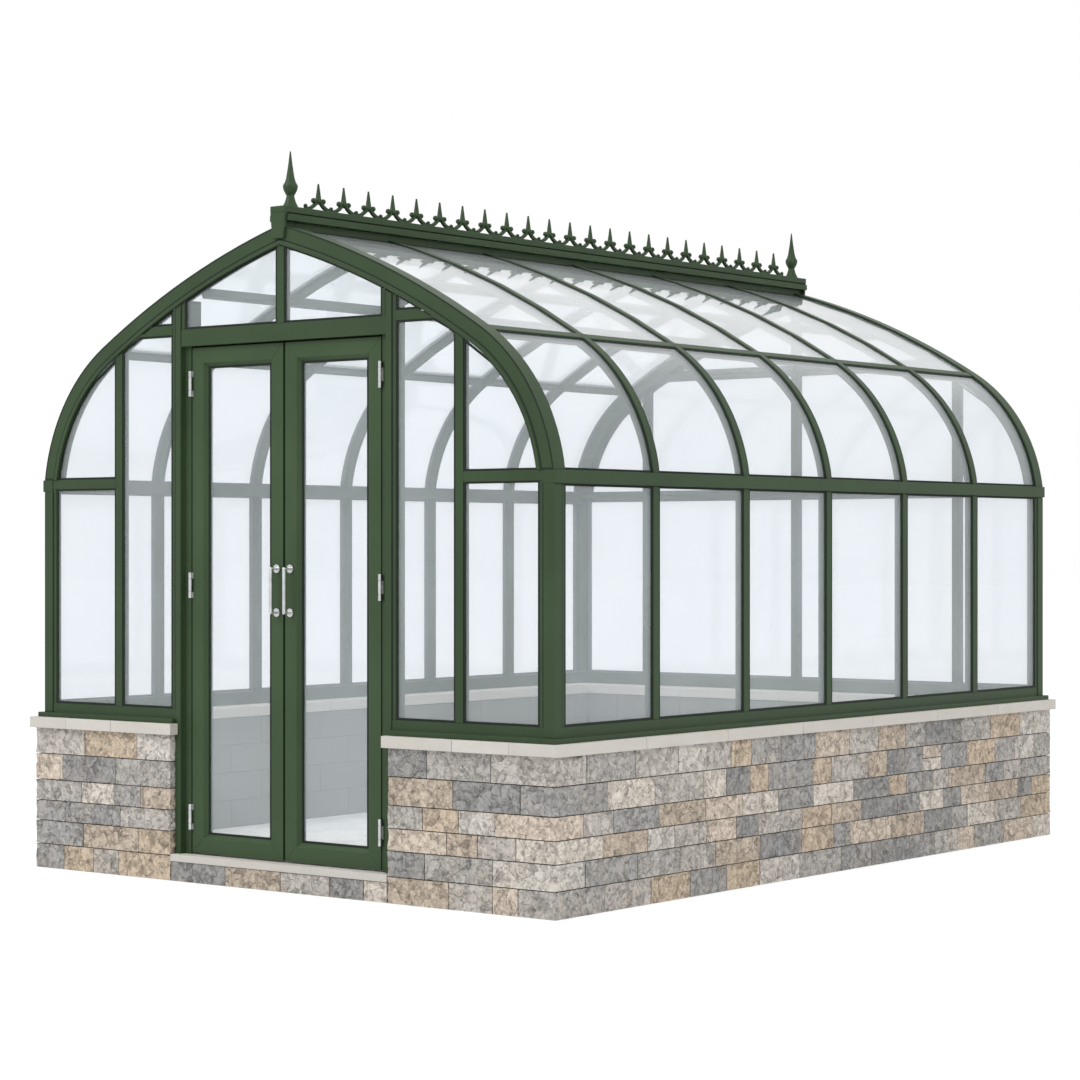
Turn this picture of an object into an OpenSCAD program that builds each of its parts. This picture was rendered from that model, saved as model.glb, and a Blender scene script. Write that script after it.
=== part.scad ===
// Glass greenhouse: a green metal frame with curved eaves on a dwarf stone wall.
// Millimetres, Z up, doors on the -Y side, origin at the bottom centre of the stone base.

/* [Base] */
// Width of the stone base across the front
base_w = 2830; // [2740:10:2920]
// Length of the stone base from front to rear
base_l = 3890; // [3700:10:4200]
// Height of the stone wall below the coping
wall_h = 600; // [520:5:680]
// Thickness of the stone wall
wall_t = 200; // [180:5:240]
// Thickness of the coping stones
coping_t = 46; // [36:1:60]
// Overhang of the coping outside the wall
coping_out = 15; // [8:1:24]
// Overhang of the coping inside the wall
coping_in = 10; // [4:1:24]
// Thickness of the paved floor
floor_t = 100; // [60:5:105]
// Height of the stone course under the doors
step_h = 80; // [60:5:100]
// Thickness of the threshold stone
threshold_t = 30; // [20:1:40]

/* [Frame] */
// Setback of the frame from the face of the stone
frame_inset = 30; // [24:1:40]
// Side of the square corner posts
post_w = 50; // [44:1:60]
// Width of the glazing bead beside a post or jamb
bead_w = 20; // [14:1:26]
// Setback of a bead from the face of its post
bead_in = 4; // [2:0.5:6]
// Thickness of the sill lip on the coping
lip_t = 20; // [14:1:28]
// Reach of the sill lip in front of the posts
lip_out = 20; // [10:1:22]
// Height of the bottom rail on the sill lip
rail_h = 40; // [30:1:60]
// Width of the cap of a glazing bar
bar_cap = 38; // [32:1:46]
// Setback of a bar cap from the face of the posts
cap_in = 3; // [1:0.5:5]
// Depth from the face of the posts to the glass
glass_back = 10; // [9:0.5:14]
// Width of the web of a glazing bar
bar_web = 20; // [14:1:24]
// Depth of the web of a glazing bar behind the glass face
bar_depth = 42; // [34:1:46]
// Thickness of the glass
glass_t = 6; // [4:0.5:8]
// Gap between the edge of a pane and the metal
glass_gap = 1; // [0.5:0.1:2]
// Number of bays along each side
bays = 6; // [4:1:8]

/* [Eaves and roof] */
// Height of the top of the eaves beam
eaves_z = 1662; // [1600:2:1740]
// Height of the eaves beam
eaves_h = 50; // [40:1:60]
// Reach of the eaves beam in front of the posts
eaves_out = 10; // [6:1:14]
// Height of the transoms at the eaves
transom_h = 40; // [30:1:48]
// Outer radius of the curved eaves
bend_r = 770; // [720:5:820]
// Lean of the curved eaves where they leave the eaves beam
lean = 7.5; // [4:0.5:10]
// Pitch of the roof at the purlin where the two curves meet
pitch = 32; // [30:0.5:34]
// Outer radius of the flat curve of the upper roof
roof_r = 3900; // [3600:50:4600]
// Width of the flat face of a gable arch
arch_face = 78; // [66:1:90]
// Depth of a gable arch
arch_depth = 60; // [56:1:70]
// Width of the bead line along the inner edge of an arch
arch_bead = 16; // [10:1:20]
// Depth of the bead line along the inner edge of an arch
arch_bead_t = 5; // [3:0.5:7]
// Width of the cap of the lower purlins
purlin_cap = 36; // [28:1:44]
// Width of the web of the lower purlins
purlin_web = 12; // [8:1:18]
// Height and width of the upper purlins
upper_purlin = 34; // [24:1:44]
// Gap between the upper purlins and the bars over them
purlin_gap = 2.5; // [2:0.5:4]
// Place of the upper purlins between the lower ones and the apex
upper_share = 0.52; // [0.4:0.01:0.6]

/* [Ridge] */
// Width of the ridge board
ridge_w = 40; // [32:1:48]
// Height of the ridge board below the moulding
ridge_h = 110; // [90:2:130]
// Width of the lower ridge moulding
mould_w = 110; // [96:1:124]
// Height of the lower ridge moulding
mould_h = 26; // [18:1:32]
// Height of the ridge moulding above the top of the gable arches
mould_up = 12; // [8:1:20]
// Width of the neck between the two ridge rails
neck_w = 60; // [48:1:70]
// Height of the neck between the two ridge rails
neck_h = 8; // [5:0.5:12]
// Width of the upper ridge rail
crest_rail_w = 80; // [72:1:90]
// Height of the upper ridge rail
crest_rail_h = 26; // [20:1:34]
// Reach of the apex boss and of the ridge rail in front of the gable arches
ridge_out = 14; // [8:1:20]
// Width of the top of the boss at the apex of a gable
boss_w = 80; // [70:1:90]
// Width of the foot of the boss at the apex of a gable
boss_foot = 60; // [50:1:70]
// Height of the boss at the apex of a gable
boss_h = 104; // [90:1:120]
// Number of spears in the cresting
spears = 23; // [15:1:25]
// Height of a cresting spear
spear_h = 112; // [100:1:124]
// Height of the collar where the legs of a spear meet
leg_z = 42; // [36:1:50]
// Thickness of the legs of a spear
leg_t = 13; // [9:1:15]
// Distance of the side balls from the middle of a spear
ball_y = 29; // [25:1:34]
// Radius of the side balls
ball_r = 11; // [8:0.5:12]
// Radius of the collar of a spear
collar_r = 15; // [12:0.5:17]
// Radius of the foot of a spike
spike_r = 13; // [10:0.5:14]
// Radius of the blunt tip of a spike
tip_r = 3.5; // [2:0.5:5]
// Radius of the knobs between the spears
knob_r = 8; // [6:0.5:9]
// Height of the knobs between the spears
knob_h = 26; // [22:1:32]
// Setback of the end spears from the gable faces
crest_in = 228; // [215:1:300]
// Height of the finials
finial_h = 228; // [200:2:280]
// Radius of the foot of a finial
finial_r = 33; // [26:1:36]
// Setback of the finials from the gable faces
finial_in = 62; // [50:1:80]

/* [Doors] */
// Half width of the door opening between the jambs
door_half = 522; // [480:2:540]
// Width of a door jamb
jamb_w = 68; // [60:1:76]
// Width of the jamb strip that stands in the frame plane
jamb_strip = 30; // [24:1:34]
// Setback of the door faces from the frame plane
door_in = 25; // [20:1:30]
// Thickness of a door leaf
leaf_t = 40; // [34:1:44]
// Gap between a leaf and its jamb, head and threshold
leaf_gap = 6; // [5.5:0.5:8]
// Gap between the two leaves
meet_gap = 11; // [10.5:0.5:14]
// Height of the leaf tops above the ground
leaf_top = 2195; // [2150:5:2210]
// Height of the door head
head_h = 70; // [56:1:80]
// Thickness of the stops behind the leaves
stop_t = 12; // [8:1:16]
// Reach of the stops from the jambs and the head
stop_w = 18; // [14:1:24]
// Width of the stiles and rails of a leaf
stile_w = 78; // [66:1:86]
// Width of the bevel round the glass of a leaf
bevel_w = 16; // [8:1:20]
// Height of a hinge
hinge_h = 104; // [80:2:120]
// Distance of the end hinges from the ends of a leaf
hinge_in = 148; // [120:2:200]
// Width of a hinge plate beside the pin
plate_w = 12; // [10:0.5:16]
// Thickness of a hinge plate
plate_t = 3; // [2:0.5:4]
// Radius of the hinge knuckles
knuckle_r = 8; // [7:0.5:9]
// Radius of the hinge pins
pin_r = 4; // [3:0.5:5]
// Radial gap between a pin and its bore
pin_gap = 0.08; // [0.04:0.01:0.1]
// Gap between the knuckles of one hinge
knuckle_gap = 2; // [1:0.5:3]
// Distance between the roses of a pull handle
pull_l = 176; // [140:2:220]
// Reach of a pull handle in front of the leaf
pull_out = 46; // [38:1:50]
// Radius of the bar of a pull handle
pull_r = 7; // [5:0.5:8]
// Radius of the roses of a pull handle
rose_r = 17; // [13:0.5:20]
// Thickness of the roses of a pull handle
rose_t = 6; // [4:0.5:8]
// Height of the middle of the pull handles
pull_z = 1200; // [1000:10:1300]

/* [Hidden] */
// Roundness of every circle
$fn = 48;
// Overlap of joined shapes inside one piece
eps = 1;
// Reach of the shapes that only cut
big = 6000;
hx = base_w / 2 - frame_inset;
hy = base_l / 2 - frame_inset;
wx = base_w / 2;
wy = base_l / 2;
ix = wx - wall_t;
iy = wy - wall_t;
coping_z = wall_h + coping_t;
post_z = coping_z + lip_t;
rail_z = post_z + rail_h;
beam_z = eaves_z - eaves_h;
glass_in = glass_back + glass_t;
bar_back = glass_back + bar_depth;
// Width by which caps, beads and lips cover the edge of a pane
cover = (bar_cap - bar_web) / 2;
// Width of the solid part of a bead beside the edge of a pane
core_w = bead_w - cover;
arch_body = arch_face - cover;
// Gap between two curved faces, and between a flat and a curved one
fit = 0.3;
// Middle of the curved eaves and the angle from there to the purlin
bend_x = hx - bend_r * cos(lean);
bend_z = eaves_z - bend_r * sin(lean);
sweep = 90 - pitch;
// Middle of the upper roof's curve, and the roof's length from the purlin to the apex
roof_x = bend_x + (bend_r - roof_r) * cos(sweep);
roof_z = bend_z + (bend_r - roof_r) * sin(sweep);
apex_angle = acos(-roof_x / roof_r);
roof_l = roof_r * (apex_angle - sweep) * PI / 180;
apex_z = roof_z + roof_r * sin(apex_angle);
mould_z = apex_z + mould_up;
rail_low = mould_z + mould_h + neck_h;
crest_z = rail_low + crest_rail_h;
pier_x = door_half + jamb_w;
strip_x = pier_x - jamb_strip;
threshold_z = step_h + threshold_t;
leaf_z = threshold_z + leaf_gap;
head_z = leaf_top + leaf_gap;
head_top = head_z + head_h;
// Underside of the short bars beside the doors, and the edges of the webs of both rows of bars
short_z = head_top - transom_h / 2;
short_low = short_z + transom_h / 2 - bar_web / 2;
short_up = short_low + bar_web;
eaves_low = eaves_z - transom_h / 2 - bar_web / 2;
eaves_up = eaves_low + bar_web;
door_y = -hy + door_in;
stop_y = door_y + leaf_t + leaf_gap;
leaf_w = door_half - leaf_gap - meet_gap / 2;
pivot_x = door_half - leaf_gap / 2;
pivot_y = door_y - knuckle_r - 1;
hinge_zs = [leaf_z + hinge_in, leaf_z + (leaf_top - leaf_z) * 0.53, leaf_top - hinge_in];
mullion_x = (pier_x + hx) * 0.47;
bay_l = (2 * hy - post_w) / bays;
arch_y = hy - arch_depth;

// Place of rib line i, counted from the front post to the rear post
function rib_y(i) = -hy + post_w / 2 + i * bay_l;
// Front and rear limits of bay i, given the limit at the ends and half the width of a bar
function bay_lo(i, end, half) = i == 0 ? -end : rib_y(i) + half;
function bay_hi(i, end, half) = i == bays - 1 ? end : rib_y(i + 1) - half;

// A box given by its two corners
module block(a, b) {
  translate(a)
    cube(b - a);
}

// The same piece on both sides of the middle
module both_sides() {
  children();
  mirror([1, 0, 0])
    children();
}

// The same piece at the front and at the rear
module both_ends() {
  children();
  mirror([0, 1, 0])
    children();
}

// Local axes on the upper roof at a distance up from the purlin: X out of the roof, Z up the slope
module on_roof(up) {
  translate([roof_x, 0, roof_z])
    rotate([0, -sweep - up / roof_r * 180 / PI, 0])
      translate([roof_r, 0, 0])
        children();
}

// A section on the roof between two depths under the outer face and two places along Y
module section(d0, d1, y0, y1) {
  translate([-d1, y0])
    square([d1 - d0, y1 - y0]);
}

// Sweeps a section through an angle round a middle, seen from the front
module sweep_round(x, z, r, start, angle) {
  translate([x, 0, z])
    rotate([90, 0, 0])
      rotate([0, 0, start])
        rotate_extrude(angle = angle, $fn = 96)
          translate([r, 0])
            mirror([0, 1])
              children();
}

// Sweeps a section round the curved eaves, from the eaves beam to a distance below the purlin
module round_bend(below) {
  difference() {
    sweep_round(bend_x, bend_z, bend_r, 0, sweep - below / bend_r * 180 / PI)
      children();
    block([0, -big, 0], [big, big, eaves_z]);
  }
}

// Sweeps a section up the roof, from a distance above the purlin to the plane at x_end
module up_roof(above, x_end) {
  start = sweep + above / roof_r * 180 / PI;
  difference() {
    sweep_round(roof_x, roof_z, roof_r, start, apex_angle + 1 - start)
      children();
    block([-big, -big, 0], [x_end, big, big]);
  }
}

// Room under one half of the roof, at a depth under its outer face
module roof_room(off) {
  translate([roof_x, 0, roof_z])
    rotate([90, 0, 0])
      cylinder(r = roof_r - off - fit, h = 2 * big, center = true);
}

// Keeps only what lies under the inner line of an arch
module under_roof(off) {
  intersection() {
    union()
      children();
    roof_room(off);
    mirror([1, 0, 0])
      roof_room(off);
  }
}

// Upright glazing bar on the front: a cap and a web, from z0 to z1, at x
module front_bar(x, z0, z1) {
  under_roof(arch_face)
    block([x - bar_cap / 2, -hy + cap_in, z0], [x + bar_cap / 2, -hy + glass_back, z1]);
  under_roof(arch_body)
    block([x - bar_web / 2, -hy + glass_back, z0], [x + bar_web / 2, -hy + bar_back, z1]);
}

// Level glazing bar on the front: a cap and a web between two uprights
module front_transom(x0, x1, z0, web0, web1) {
  under_roof(arch_face)
    block([x0, -hy + cap_in, z0], [x1, -hy + glass_back, z0 + transom_h]);
  under_roof(arch_body)
    block([web0, -hy + glass_back, z0 + transom_h / 2 - bar_web / 2],
      [web1, -hy + bar_back, z0 + transom_h / 2 + bar_web / 2]);
}

// Pane of the front gable between two uprights and two heights, kept under the arch
module front_pane(x0, x1, z0, z1) {
  under_roof(arch_body + glass_gap)
    block([x0 + glass_gap, -hy + glass_back, z0], [x1 - glass_gap, -hy + glass_in, z1]);
}

// Pane beside a corner post that follows the bend at its top
module corner_pane(x0, x1, z0) {
  intersection() {
    front_pane(x0, x1, z0, z0 + bend_r);
    translate([bend_x, 0, bend_z])
      rotate([90, 0, 0])
        cylinder(r = bend_r - arch_body - glass_gap, h = big, $fn = 96);
  }
}

// Wall of one long side
module side_wall() {
  block([ix, -wy, 0], [wx, wy, wall_h]);
}

module floor_slab() {
  color("#cfccc4")
    block([-ix, -iy, 0], [ix, iy, floor_t]);
}

module front_walls() {
  color("#a39a8a")
    both_sides()
      block([pier_x, -wy, 0], [ix, -iy, wall_h]);
}

module left_wall() {
  color("#a39a8a")
    mirror([1, 0, 0])
      side_wall();
}

module right_wall() {
  color("#a39a8a")
    side_wall();
}

module rear_wall() {
  color("#a39a8a")
    block([-ix, iy, 0], [ix, wy, wall_h]);
}

module step_course() {
  color("#a39a8a")
    block([-pier_x, -wy, 0], [pier_x, -iy, step_h]);
}

module threshold_stone() {
  color("#cdc8c0")
    block([-pier_x, -wy, step_h], [pier_x, -iy, threshold_z]);
}

module front_copings() {
  color("#cdc8c0")
    both_sides() {
      block([pier_x, -wy - coping_out, wall_h], [ix - coping_in, -iy + coping_in, coping_z]);
      block([pier_x - coping_out, -wy - coping_out, wall_h], [pier_x + eps, -hy, coping_z]);
    }
}

module side_copings() {
  color("#cdc8c0")
    both_sides()
      block([ix - coping_in, -wy - coping_out, wall_h], [wx + coping_out, wy + coping_out, coping_z]);
}

module rear_coping() {
  color("#cdc8c0")
    block([coping_in - ix, iy - coping_in, wall_h], [ix - coping_in, wy + coping_out, coping_z]);
}

// Lip on the coping and bottom rail of one end wall, between two distances from the middle
module end_sill(lip0, rail0) {
  block([lip0, -hy - lip_out, coping_z], [hx - post_w, -hy + bar_back, post_z]);
  block([rail0, -hy + bead_in, post_z - eps], [hx - post_w, -hy + bar_back, rail_z]);
}

module front_sills() {
  color("#4a5e44")
    both_sides()
      end_sill(pier_x, pier_x);
}

module side_sills() {
  color("#4a5e44")
    both_sides() {
      block([hx - post_w, -hy - lip_out, coping_z], [hx + lip_out, hy + lip_out, post_z]);
      block([hx - bar_back + 2, post_w - hy, post_z - eps], [hx - bead_in, hy - post_w, rail_z]);
    }
}

module rear_sill() {
  color("#4a5e44")
    mirror([0, 1, 0]) {
      end_sill(-hx + post_w, -hx + post_w);
    }
}

// Square post with a glazing bead on its two inner sides
module corner_post() {
  side_x = hx - post_w;
  side_y = -hy + post_w;
  block([side_x, -hy, post_z], [hx, side_y, beam_z]);
  block([side_x - bead_w, -hy + bead_in, rail_z], [side_x + eps, -hy + glass_back, beam_z]);
  block([side_x - core_w, -hy + bead_in, rail_z], [side_x + eps, -hy + glass_in, beam_z]);
  block([hx - glass_back, side_y - eps, rail_z], [hx - bead_in, side_y + bead_w, beam_z]);
  block([hx - glass_in, side_y - eps, rail_z], [hx - bead_in, side_y + core_w, beam_z]);
}

module corner_posts() {
  color("#4a5e44")
    both_ends()
      both_sides()
        corner_post();
}

module front_mullions() {
  color("#4a5e44") {
    both_sides()
      front_bar(mullion_x, rail_z, apex_z);
    front_bar(0, head_top, apex_z);
  }
}

module rear_mullions() {
  color("#4a5e44")
    mirror([0, 1, 0]) {
      both_sides()
        front_bar(mullion_x, rail_z, apex_z);
      front_bar(0, rail_z, apex_z);
    }
}

// Upright glazing bars of one long side
module side_mullions() {
  for (i = [1 : bays - 1]) {
    block([hx - glass_back, rib_y(i) - bar_cap / 2, rail_z], [hx - cap_in, rib_y(i) + bar_cap / 2, beam_z]);
    block([hx - bar_back, rib_y(i) - bar_web / 2, rail_z],
      [hx - glass_back, rib_y(i) + bar_web / 2, beam_z]);
  }
}

module left_mullions() {
  color("#4a5e44")
    mirror([1, 0, 0])
      side_mullions();
}

module right_mullions() {
  color("#4a5e44")
    side_mullions();
}

module eaves_beams() {
  color("#4a5e44")
    both_sides()
      block([hx - post_w, -hy, beam_z], [hx + eaves_out, hy, eaves_z]);
}

module front_transoms() {
  low = eaves_z - transom_h;
  color("#4a5e44")
    both_sides() {
      front_transom(mullion_x + bar_cap / 2, hx - post_w, low, mullion_x + bar_web / 2, hx - post_w);
      front_transom(pier_x + bead_w, mullion_x - bar_cap / 2, short_z, pier_x + core_w,
        mullion_x - bar_web / 2);
    }
}

module rear_transoms() {
  low = eaves_z - transom_h;
  color("#4a5e44")
    mirror([0, 1, 0])
      both_sides() {
        front_transom(mullion_x + bar_cap / 2, hx - post_w, low, mullion_x + bar_web / 2, hx - post_w);
        front_transom(bar_cap / 2, mullion_x - bar_cap / 2, low, bar_web / 2, mullion_x - bar_web / 2);
        front_transom(bar_cap / 2, mullion_x - bar_cap / 2, short_z, bar_web / 2,
          mullion_x - bar_web / 2);
      }
}

// Jamb with a strip in the frame plane, a set back rebate and a stop for the door and glazing beads
module jamb() {
  block([door_half - stop_w, stop_y, threshold_z], [door_half + eps, stop_y + stop_t, head_z]);
  under_roof(arch_face) {
    block([strip_x, -hy, threshold_z], [pier_x, -hy + door_in + eps, apex_z]);
    block([door_half, door_y, threshold_z], [pier_x, stop_y + stop_t, apex_z]);
    block([pier_x - eps, -hy + bead_in, rail_z], [pier_x + bead_w, -hy + glass_back, apex_z]);
    block([pier_x - eps, -hy + bead_in, rail_z], [pier_x + core_w, -hy + glass_in, apex_z]);
    block([strip_x - bead_w, -hy + bead_in, head_top], [strip_x + eps, -hy + glass_back, apex_z]);
    block([strip_x - core_w, -hy + bead_in, head_top], [strip_x + eps, -hy + glass_in, apex_z]);
  }
}

module door_jambs() {
  color("#4a5e44")
    both_sides()
      jamb();
}

// Head with a face between the jamb strips and a stop over the leaves
module door_head() {
  stop_x = door_half - stop_w;
  color("#4a5e44") {
    block([-strip_x, -hy + cap_in, head_z], [strip_x, door_y, head_top]);
    block([-door_half, door_y - eps, head_z], [door_half, stop_y + stop_t, head_top]);
    block([-stop_x, stop_y, head_z - stop_w], [stop_x, stop_y + stop_t, head_z + eps]);
  }
}

// Section of a gable arch: a flat face with a bead line, a body and a lip over the roof glass
module arch_section() {
  section(0, arch_face - arch_bead, -hy, -hy + glass_back);
  section(arch_face - arch_bead, arch_face, -hy - arch_bead_t, -hy + glass_back);
  section(0, arch_body, -hy + glass_back, -arch_y);
  section(0, glass_back, -arch_y - eps, -arch_y + cover);
}

// Lower parts of a gable arch round the curved eaves
module gable_bends() {
  both_sides()
    round_bend(0)
      arch_section();
}

// Upper parts of a gable arch with the boss at the apex
module gable_rafters() {
  foot_z = rail_low - boss_h;
  translate([0, -hy, 0])
    rotate([90, 0, 0])
      linear_extrude(ridge_out)
        polygon([[-boss_w / 2, rail_low], [-boss_foot / 2, foot_z], [boss_foot / 2, foot_z],
          [boss_w / 2, rail_low]]);
  difference() {
    both_sides()
      up_roof(0, 0)
        arch_section();
    block([-ridge_w / 2, -arch_y, 0], [ridge_w / 2, big, big]);
  }
}

module front_gable_bends() {
  color("#4a5e44")
    gable_bends();
}

module front_gable_rafters() {
  color("#4a5e44")
    gable_rafters();
}

module rear_gable_bends() {
  color("#4a5e44")
    mirror([0, 1, 0])
      gable_bends();
}

module rear_gable_rafters() {
  color("#4a5e44")
    mirror([0, 1, 0])
      gable_rafters();
}

// Section of a glazing bar of the roof: a cap and a web
module bar_section(y) {
  section(cap_in, glass_back, y - bar_cap / 2, y + bar_cap / 2);
  section(glass_back, bar_back, y - bar_web / 2, y + bar_web / 2);
}

// Glazing bars of one side round the curved eaves
module bent_ribs() {
  for (i = [1 : bays - 1])
    round_bend(0)
      bar_section(rib_y(i));
}

// Glazing bars of one side of the upper roof
module roof_bars() {
  for (i = [1 : bays - 1])
    up_roof(0, ridge_w / 2)
      bar_section(rib_y(i));
}

module left_bent_ribs() {
  color("#4a5e44")
    mirror([1, 0, 0])
      bent_ribs();
}

module right_bent_ribs() {
  color("#4a5e44")
    bent_ribs();
}

module left_roof_bars() {
  color("#4a5e44")
    mirror([1, 0, 0])
      roof_bars();
}

module right_roof_bars() {
  color("#4a5e44")
    roof_bars();
}

// Bars across the roof: short flush ones where the curves meet and a long one under the ribs
module roof_purlins() {
  for (i = [0 : bays - 1]) {
    on_roof(0) {
      block([-glass_back, bay_lo(i, arch_y - cover, bar_cap / 2), -purlin_cap / 2],
        [-cap_in, bay_hi(i, arch_y - cover, bar_cap / 2), purlin_cap / 2]);
      block([-bar_back + 4, bay_lo(i, arch_y, bar_web / 2), -purlin_web / 2],
        [-glass_back, bay_hi(i, arch_y, bar_web / 2), purlin_web / 2]);
    }
  }
  on_roof(roof_l * upper_share)
    block([-bar_back - purlin_gap - upper_purlin, -arch_y, -upper_purlin / 2],
      [-bar_back - purlin_gap, arch_y, upper_purlin / 2]);
}

module left_purlins() {
  color("#4a5e44")
    mirror([1, 0, 0])
      roof_purlins();
}

module right_purlins() {
  color("#4a5e44")
    roof_purlins();
}

module ridge_board() {
  color("#4a5e44")
    block([-ridge_w / 2, -arch_y, mould_z - ridge_h], [ridge_w / 2, arch_y, mould_z]);
}

module ridge_moulding() {
  color("#4a5e44") {
    block([-mould_w / 2, -hy, mould_z], [mould_w / 2, hy, mould_z + mould_h]);
    block([-neck_w / 2, -hy, mould_z + mould_h - eps], [neck_w / 2, hy, rail_low + eps]);
    block([-crest_rail_w / 2, -hy - ridge_out, rail_low], [crest_rail_w / 2, hy + ridge_out, crest_z]);
  }
}

// One spear of the cresting: a spike on a collar with two balls, over two curved legs
module spear(step) {
  rise = leg_z - leg_t / 2 + 1;
  leg_y = step / 2 - knob_r;
  leg_r = (leg_y * leg_y + rise * rise) / (2 * rise);
  translate([0, 0, leg_z])
    cylinder(r1 = spike_r, r2 = tip_r, h = spear_h - leg_z);
  translate([0, 0, leg_z])
    sphere(r = collar_r);
  translate([0, -ball_y, leg_z])
    rotate([-90, 0, 0])
      cylinder(r = ball_r / 2, h = 2 * ball_y);
  both_ends()
    translate([0, ball_y, leg_z])
      sphere(r = ball_r);
  rotate([90, 0, 90])
    translate([0, 0, -leg_t / 2])
      linear_extrude(leg_t)
        for (side = [-1, 1])
          intersection() {
            translate([side * step / 2, leg_t / 2 - 1 + leg_r])
              difference() {
                circle(r = leg_r + leg_t / 2, $fn = 96);
                circle(r = leg_r - leg_t / 2, $fn = 96);
              }
            translate([side > 0 ? 0 : knob_r + fit - step / 2, 0])
              square([step / 2 - knob_r - fit, leg_z]);
          }
}

// Outline of a knob as shares of its radius and of its height
knob_outline = [[0, 0], [1, 0], [1, 0.62], [1.15, 0.7], [0.85, 0.84], [0, 1]];

// Pointed knob between two spears
module knob() {
  rotate_extrude()
    polygon([for (p = knob_outline) [p[0] * knob_r, p[1] * knob_h]]);
}

module ridge_cresting() {
  span = 2 * (hy - crest_in);
  step = span / (spears - 1);
  color("#4a5e44") {
    for (i = [0 : spears - 1])
      translate([0, i * step - span / 2, crest_z])
        spear(step);
    for (i = [0 : spears])
      translate([0, (i - 0.5) * step - span / 2, crest_z])
        knob();
  }
}

// Turned outline of a finial as shares of its base radius and of its height
finial_outline = [[1, 0], [0.91, 0.03], [0.67, 0.1], [0.52, 0.175], [0.48, 0.21], [0.6, 0.24],
  [0.82, 0.3], [0.91, 0.35], [0.91, 0.39], [0.67, 0.45], [0.52, 0.52], [0.27, 0.75], [0.08, 0.985]];

module ridge_finials() {
  outline = [for (p = finial_outline) [p[0] * finial_r, p[1] * finial_h]];
  color("#4a5e44")
    both_ends()
      translate([0, hy - finial_in, crest_z])
        rotate_extrude()
          polygon(concat([[0, 0]], outline, [[0, finial_h]]));
}

// Panes of one long side
module wall_panes() {
  for (i = [0 : bays - 1])
    block([hx - glass_in, bay_lo(i, hy - post_w - core_w, bar_web / 2) + glass_gap, rail_z],
      [hx - glass_back, bay_hi(i, hy - post_w - core_w, bar_web / 2) - glass_gap, beam_z]);
}

module left_wall_glass() {
  color("#dfe6e2", 0.3)
    mirror([1, 0, 0])
      wall_panes();
}

module right_wall_glass() {
  color("#dfe6e2", 0.3)
    wall_panes();
}

// Bent panes of one side of the curved eaves
module bent_panes() {
  for (i = [0 : bays - 1])
    round_bend(purlin_web / 2 + glass_gap)
      section(glass_back + fit, glass_in + fit, bay_lo(i, arch_y, bar_web / 2) + glass_gap,
        bay_hi(i, arch_y, bar_web / 2) - glass_gap);
}

module left_curved_glass() {
  color("#dfe6e2", 0.3)
    mirror([1, 0, 0])
      bent_panes();
}

module right_curved_glass() {
  color("#dfe6e2", 0.3)
    bent_panes();
}

// Slightly bent panes of one side of the upper roof
module roof_panes() {
  for (i = [0 : bays - 1])
    up_roof(purlin_web / 2 + glass_gap, ridge_w / 2)
      section(glass_back + fit, glass_in + fit, bay_lo(i, arch_y, bar_web / 2) + glass_gap,
        bay_hi(i, arch_y, bar_web / 2) - glass_gap);
}

module left_roof_glass() {
  color("#dfe6e2", 0.3)
    mirror([1, 0, 0])
      roof_panes();
}

module right_roof_glass() {
  color("#dfe6e2", 0.3)
    roof_panes();
}

module front_glass() {
  color("#dfe6e2", 0.3)
    both_sides() {
      front_pane(mullion_x + bar_web / 2, hx - post_w - core_w, rail_z, eaves_low);
      corner_pane(mullion_x + bar_web / 2, hx, eaves_up + glass_gap);
      front_pane(pier_x + core_w, mullion_x - bar_web / 2, rail_z, short_low - glass_gap);
      front_pane(pier_x + core_w, mullion_x - bar_web / 2, short_up + glass_gap, apex_z);
      front_pane(bar_web / 2, strip_x - core_w, head_top, apex_z);
    }
}

module rear_glass() {
  color("#dfe6e2", 0.3)
    mirror([0, 1, 0])
      both_sides() {
        front_pane(mullion_x + bar_web / 2, hx - post_w - core_w, rail_z, eaves_low);
        corner_pane(mullion_x + bar_web / 2, hx, eaves_up + glass_gap);
        front_pane(bar_web / 2, mullion_x - bar_web / 2, rail_z, eaves_low);
        front_pane(bar_web / 2, mullion_x - bar_web / 2, eaves_up + glass_gap, short_low - glass_gap);
        front_pane(bar_web / 2, mullion_x - bar_web / 2, short_up + glass_gap, apex_z);
      }
}

// Height of the middle knuckle of a hinge
knuckle_h = hinge_h / 2;

// Middle knuckle, pin and plate that stay on the right jamb
module jamb_hinge() {
  translate([pivot_x, pivot_y, 0]) {
    translate([0, 0, -knuckle_h / 2])
      cylinder(r = knuckle_r, h = knuckle_h);
    translate([0, 0, -hinge_h / 2])
      cylinder(r = pin_r, h = hinge_h);
  }
  block([pivot_x, door_y - plate_t, -knuckle_h / 2], [pivot_x + plate_w, door_y, knuckle_h / 2]);
  block([pivot_x + plate_t, pivot_y, -knuckle_h / 2], [pivot_x + 2 * plate_t, door_y, knuckle_h / 2]);
}

module jamb_hinges() {
  color("#b9bcbd")
    both_sides()
      for (z = hinge_zs)
        translate([0, 0, z])
          jamb_hinge();
}

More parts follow.
